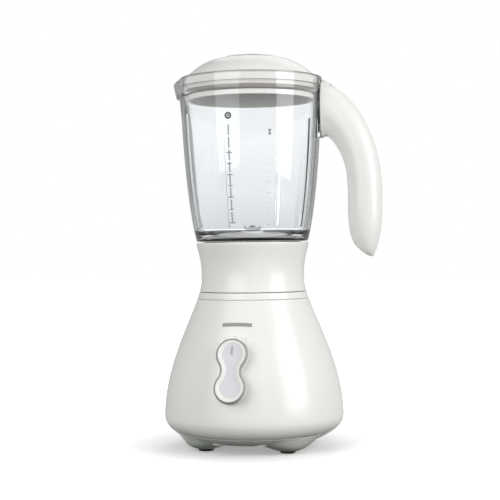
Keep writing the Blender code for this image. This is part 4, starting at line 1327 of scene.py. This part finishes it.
def graduation_height(goblet, volume):
    """The height to which the given volume fills the goblet."""
    side = goblet_side(goblet, 200)
    filled = 0.0
    for low, high in zip(side, side[1:]):
        if low.y < 0.2040:
            continue
        filled += math.pi * (low.x - goblet.wall) ** 2 * (high.y - low.y)
        if filled >= volume:
            return high.y
    raise ValueError("the goblet is smaller than that volume")


def on_goblet(goblet, angle, height):
    """A frame on the goblet's outer wall: local Z points out, local Y up."""
    radius = radius_at(goblet_side(goblet, 80), height) + 0.3 * MM
    return Matrix.Rotation(angle, 4, "Z") @ Matrix.Translation((radius, 0, height)) @ Matrix((
        (0, 0, 1, 0), (1, 0, 0, 0), (0, 1, 0, 0), (0, 0, 0, 1)
    ))


class KITCHEN_OT_graduations(Operator):
    """Prints the two scales and the round spot on the goblet's wall"""

    bl_idname = "kitchen.graduations"
    bl_label = "Graduations"

    def execute(self, context):
        goblet = settings().goblet
        wall = bpy.data.objects["goblet_glass"]
        left, right = math.radians(-94.5), math.radians(-61.2)
        marks = []
        for number in range(1, 8):
            height = graduation_height(goblet, number * goblet.half_cup)
            marks.append(
                flat_mark((5.4 if number % 2 else 4.0) * MM, 1.2 * MM, on_goblet(goblet, left, height))
            )
        low, high = graduation_height(goblet, 0.9 * goblet.half_cup), 0.3090
        marks += [
            flat_mark(
                1.4 * MM, (high - low) / 8 * 0.86,
                on_goblet(goblet, left, low + (high - low) * (k + 0.5) / 8)
            )
            for k in range(8)
        ]
        printed("left_scale", marks, wall, "goblet", "clear_plastic", "print_soft")
        marks = []
        for share in (1, 2, 3, 4, 5, 6, 7):
            height = graduation_height(goblet, share * 0.0001)
            marks.append(flat_mark(3.2 * MM, 0.6 * MM, on_goblet(goblet, right, height)))
        printed("right_scale", marks, wall, "goblet", "clear_plastic", "print_pale")
        spot = [
            flat_disc(3.3 * MM, on_goblet(goblet, left, 0.3165), 1.7 * MM),
            flat_disc(1.1 * MM, on_goblet(goblet, left, 0.3165))
        ]
        small = [
            flat_disc(1.3 * MM, on_goblet(goblet, right, 0.3009 + offset), 0.5 * MM)
            for offset in (-1.5 * MM, 1.5 * MM)
        ]
        printed("scale_spots", spot + small, wall, "goblet", "clear_plastic", "print_dark")
        return {"FINISHED"}


HANDLE_STATIONS = (
    # The inner edge and the outer edge as (reach, height), and the half width, in millimetres.
    ((70.4, 299.0), (70.4, 352.6), 9.5),
    ((76.0, 299.6), (80.0, 348.8), 11.0),
    ((83.3, 291.6), (96.0, 336.0), 13.0),
    ((89.5, 280.0), (111.0, 315.0), 14.2),
    ((93.5, 266.0), (121.5, 290.0), 14.8),
    ((94.9, 248.0), (126.8, 262.0), 15.0),
    ((94.8, 228.0), (127.5, 234.0), 14.6),
    ((96.0, 210.0), (126.2, 212.0), 13.0),
    ((100.0, 197.5), (123.5, 198.0), 10.0),
    ((107.5, 189.5), (120.5, 188.8), 6.2),
    ((114.0, 185.2), (118.4, 184.3), 2.2),
)


def between(stations, steps):
    """More stations on a smooth curve through the given ones."""
    rows = [(*inner, *outer, width) for inner, outer, width in stations]
    result = []
    for index in range(len(rows) - 1):
        a, b, c, d = (rows[min(max(index + k, 0), len(rows) - 1)] for k in (-1, 0, 1, 2))
        for step in range(steps):
            t = step / steps
            row = []
            for p, q, r, s in zip(a, b, c, d):
                bend = (2 * p - 5 * q + 4 * r - s) * t + (3 * q - p - 3 * r + s) * t * t
                row.append(0.5 * (2 * q + (r - p + bend) * t))
            result.append(row)
    result.append(rows[-1])
    return result


class KITCHEN_OT_handle(Operator):
    """Models the open-ended grip with its long crease, and the slot for the goblet's tongue"""

    bl_idname = "kitchen.handle"
    bl_label = "Handle"

    def execute(self, context):
        section = (
            (0, 0), (0.015, 0.26), (0.07, 0.52), (0.22, 0.80), (0.45, 1.0), (0.62, 0.985),
            (0.80, 0.82), (0.93, 0.52), (0.99, 0.22), (1, 0)
        )
        section += tuple((along, -across) for along, across in section[-2:0:-1])
        rings = []
        for x0, z0, x1, z1, width in between(HANDLE_STATIONS, 4):
            ring = [
                Vector(((x0 + (x1 - x0) * a) * MM, width * b * MM, (z0 + (z1 - z0) * a) * MM)) for a,
                b in section
            ]
            rings.append(ring)
        grip = skinned("grip", rings, 26)
        slot = block("slot", (0.0680, -2.9 * MM, 0.3055), (0.0830, 2.9 * MM, 0.3465))
        cut_or_join(grip, "DIFFERENCE", [slot])
        settle(grip, 30)
        ride(grip, "goblet", "gloss_white", "handle")
        return {"FINISHED"}


# The lid


class KITCHEN_OT_lid(Operator):
    """Models the domed lid with its skirt and well, and the gasket round the skirt"""

    bl_idname = "kitchen.lid"
    bl_label = "Lid"

    def execute(self, context):
        flange_low, flange_high = 0.3499, 0.3556
        dome = curve((0.0650, 0.3562), (0.0600, 0.3640), (0.0460, 0.3755), (0.0310, 0.3773), 22)
        skirt = [
            (0.0600, LID_LOW, 0.5 * MM), (0.0626, LID_LOW, 0.5 * MM), (0.0626, 0.3415, 0.2 * MM),
            (0.0618, 0.3415)
        ]
        skirt += [
            (0.0618, 0.3465), (0.0626, 0.3465, 0.2 * MM), (0.0626, flange_low),
            (0.0659, flange_low, 0.5 * MM)
        ]
        skirt += [(0.0659, flange_high, 0.6 * MM), tuple(dome[1])]
        well = [
            tuple(dome[-2]), (0.0297, 0.3771, 0.7 * MM), (0.0297, 0.3738, 0.5 * MM),
            (0.0243, 0.3738, 0.4 * MM)
        ]
        well += [(0.0243, 0.3690, 0.3 * MM), (0.0267, 0.3690, 0.3 * MM), (0.0267, 0.3714), (0.0292, 0.3714)]
        under = [Vector((point.x - 1.2 * MM, point.y - 2.4 * MM)) for point in dome[::-1]][1:-3]
        under += [Vector((0.0604, 0.3530)), Vector((0.0600, 0.3500))]
        outline = rounded([(0.0600, 0.345), *skirt])[1:] + dome[2:-2] + rounded(well)[1:] + under
        lid = turned("lid_shell", outline + [outline[0]], steps=144)
        settle(lid, 36)
        ride(lid, "lid", "gloss_white", "lid")
        self.gasket()
        return {"FINISHED"}

    def gasket(self):
        low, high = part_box("lid_seal")
        middle = (low.z + high.z) / 2
        corners = [
            (0.0621, low.z, 0.3 * MM), (0.0642, low.z + 0.5 * MM, 0.4 * MM),
            (high.x, middle, 0.6 * MM)
        ]
        corners += [(0.0642, high.z - 0.5 * MM, 0.4 * MM), (0.0621, high.z, 0.3 * MM)]
        gasket = hoop("lid_gasket", corners, 128)
        ride(gasket, "lid", "grey_rubber", "lid_seal")


class KITCHEN_OT_filler_cap(Operator):
    """Models the filler cap with its crowned top and finger edge"""

    bl_idname = "kitchen.filler_cap"
    bl_label = "Filler Cap"

    def execute(self, context):
        corners = [
            (0, CAP_HIGH), (0.0246, CAP_HIGH - 0.3 * MM, 1.6 * MM), (0.0278, 0.3782, 1.2 * MM),
            (0.0275, 0.3741, 0.5 * MM)
        ]
        corners += [
            (0.0238, 0.3741, 0.3 * MM), (0.0235, CAP_LOW, 0.4 * MM), (0.0215, CAP_LOW, 0.4 * MM),
            (0.0213, 0.3772, 0.8 * MM)
        ]
        corners += [(0, 0.3776)]
        cap = turned("cap_shell", rounded(corners), steps=112)
        settle(cap, 36)
        ride(cap, "filler_cap", "gloss_white", "filler_cap")
        # painted shadow: a grey ring under the cap's edge stands in for the shade in the gap round the cap
        inner, outer, low, high = 0.0268, 0.0286, 0.3764, 0.3781
        gap_shadow = hoop(
            "cap_gap_shadow",
            [(inner, low), (outer, low, 0.5 * MM), (outer, high, 0.5 * MM), (inner, high)], 112
        )
        ride(gap_shadow, "filler_cap", "gloss_white", finish="grey_rubber")
        return {"FINISHED"}


# The stage


class KITCHEN_OT_stage(Operator):
    """Sets up the floor, the soft boxes, the surroundings and the camera"""

    bl_idname = "kitchen.stage"
    bl_label = "Stage"

    def execute(self, context):
        stage = settings().stage
        self.floor()
        self.surroundings()
        ahead = stage.camera_azimuth - math.pi / 2
        aim = Vector((0, 0, 0.19))
        self.soft_box("key_box", ahead + math.radians(56), 1.55, 0.62, (0.9, 1.15), stage.key_power, aim)
        self.soft_box("top_box", ahead - math.radians(10), 0.75, 1.65, (1.5, 1.3), stage.top_power, aim)
        self.soft_box("fill_box", ahead - math.radians(38), 1.45, 0.62, (1.1, 1.1), stage.fill_power, aim)
        self.soft_box("back_box", ahead + math.radians(170), 1.3, 1.5, (1.2, 1.0), stage.back_power, aim)
        self.camera(stage)
        context.scene.view_settings.view_transform = "Standard"
        return {"FINISHED"}

    def floor(self):
        let_go()
        bpy.ops.mesh.primitive_plane_add(size=12)
        floor = bpy.context.object
        floor.name = "studio_floor"
        material, tree, shader = start_finish("studio_floor", (0.88, 0.875, 0.87), 0.9)
        shader.inputs["Specular IOR Level"].default_value = 0.0
        shader.inputs["Emission Color"].default_value = (1.0, 0.97, 0.97, 1)
        distance = tree.nodes.new("ShaderNodeVectorMath")
        distance.operation = "LENGTH"
        tree.links.new(object_place(tree), distance.inputs[0])
        tree.links.new(
            ranged(tree, distance.outputs["Value"], 0.30, 1.3, 0.08, 0.30),
            shader.inputs["Emission Strength"]
        )
        tree.links.new(
            two_tone(tree, mottle(tree, 3), (0.88, 0.875, 0.87), (0.89, 0.885, 0.88)),
            shader.inputs["Base Color"]
        )
        floor.data.materials.append(material)
        floor.visible_diffuse = False
        floor.visible_glossy = False

    def surroundings(self):
        """White where it is looked at, straight or through the goblet. Shaded where it lights."""
        world = bpy.data.worlds.new("studio")
        bpy.context.scene.world = world
        world.use_nodes = True
        tree = world.node_tree
        seen = tree.nodes["Background"]
        seen.inputs["Color"].default_value = (1, 1, 1, 1)
        lights = tree.nodes.new("ShaderNodeBackground")
        coordinates = tree.nodes.new("ShaderNodeTexCoord")
        parts = tree.nodes.new("ShaderNodeSeparateXYZ")
        tree.links.new(coordinates.outputs["Generated"], parts.inputs["Vector"])
        height = ranged(tree, parts.outputs["Z"], 0, 1, -1, 1)
        shades = (
            (0.0, (0.008, 0.013, 0.010)), (0.22, (0.030, 0.038, 0.033)), (0.37, (0.58, 0.58, 0.57)),
            (1.0, (0.21, 0.21, 0.21))
        )
        tree.links.new(stops(tree, height, shades), lights.inputs["Color"])
        rays = ("Is Camera Ray", "Is Transmission Ray")
        mixed(tree, rays, lights.outputs["Background"], seen.outputs["Background"], "World Output")

    def soft_box(self, name, angle, distance, height, size, power, aim):
        place = Vector((distance * math.cos(angle), distance * math.sin(angle), height))
        bpy.ops.object.light_add(type="AREA", location=place)
        lamp = bpy.context.object
        lamp.name = name
        lamp.rotation_euler = (aim - place).to_track_quat("-Z", "Y").to_euler()
        lamp.data.shape = "RECTANGLE"
        lamp.data.size, lamp.data.size_y = size
        lamp.data.energy = power
        lamp.visible_camera = False
        lamp.visible_transmission = False

    def camera(self, stage):
        place = Vector(
            (math.sin(stage.camera_azimuth), -math.cos(stage.camera_azimuth), 0)
        ) * stage.camera_distance
        place.z = stage.camera_height
        right = Vector((math.cos(stage.camera_azimuth), math.sin(stage.camera_azimuth), 0))
        aim = Vector((0, 0, 0.1916)) - right * 2.5 * MM
        bpy.ops.object.camera_add(location=place)
        camera = bpy.context.object
        camera.name = "studio_camera"
        roll = Matrix.Rotation(math.radians(-0.65), 3, "Z")
        camera.rotation_euler = ((aim - place).to_track_quat("-Z", "Y").to_matrix() @ roll).to_euler()
        camera.data.lens = 90
        camera.data.sensor_width = 36
        bpy.context.scene.camera = camera


# The add-on


PIECES = (
    KITCHEN_OT_upper_housing,
    KITCHEN_OT_base_cover,
    KITCHEN_OT_seat_ring,
    KITCHEN_OT_feet_and_screws,
    KITCHEN_OT_cord_gland,
    KITCHEN_OT_speed_dial,
    KITCHEN_OT_body_marks,
    KITCHEN_OT_collar,
    KITCHEN_OT_blades,
    KITCHEN_OT_couplings,
    KITCHEN_OT_goblet,
    KITCHEN_OT_graduations,
    KITCHEN_OT_handle,
    KITCHEN_OT_lid,
    KITCHEN_OT_filler_cap,
    KITCHEN_OT_stage,
)


class KITCHEN_PT_blender(Panel):
    """Lists the blender's pieces and settings"""

    bl_idname = "KITCHEN_PT_blender"
    bl_label = "Countertop Blender"
    bl_space_type = "VIEW_3D"
    bl_region_type = "UI"
    bl_category = "Kitchen"

    def draw(self, context):
        layout = self.layout
        for operator in PIECES:
            layout.operator(operator.bl_idname)
        for group in ("body", "dial", "goblet", "finish", "stage"):
            box = layout.box()
            values = getattr(settings(), group)
            box.label(text=group.capitalize())
            for key in values.bl_rna.properties.keys():
                if key not in ("name", "rna_type"):
                    box.prop(values, key)


CLASSES = (
    KitchenBodySettings,
    KitchenDialSettings,
    KitchenGobletSettings,
    KitchenFinishSettings,
    KitchenStageSettings,
    KitchenBlenderSettings,
    *PIECES,
    KITCHEN_PT_blender,
)


def register():
    for cls in CLASSES:
        bpy.utils.register_class(cls)
    bpy.types.Scene.countertop_blender = PointerProperty(type=KitchenBlenderSettings)


def unregister():
    del bpy.types.Scene.countertop_blender
    for cls in reversed(CLASSES):
        bpy.utils.unregister_class(cls)


def main():
    register()
    make_finishes(settings().finish)
    paint_frame()
    for operator in PIECES:
        group, name = operator.bl_idname.split(".")
        getattr(getattr(bpy.ops, group), name)()


if __name__ == "__main__":
    main()
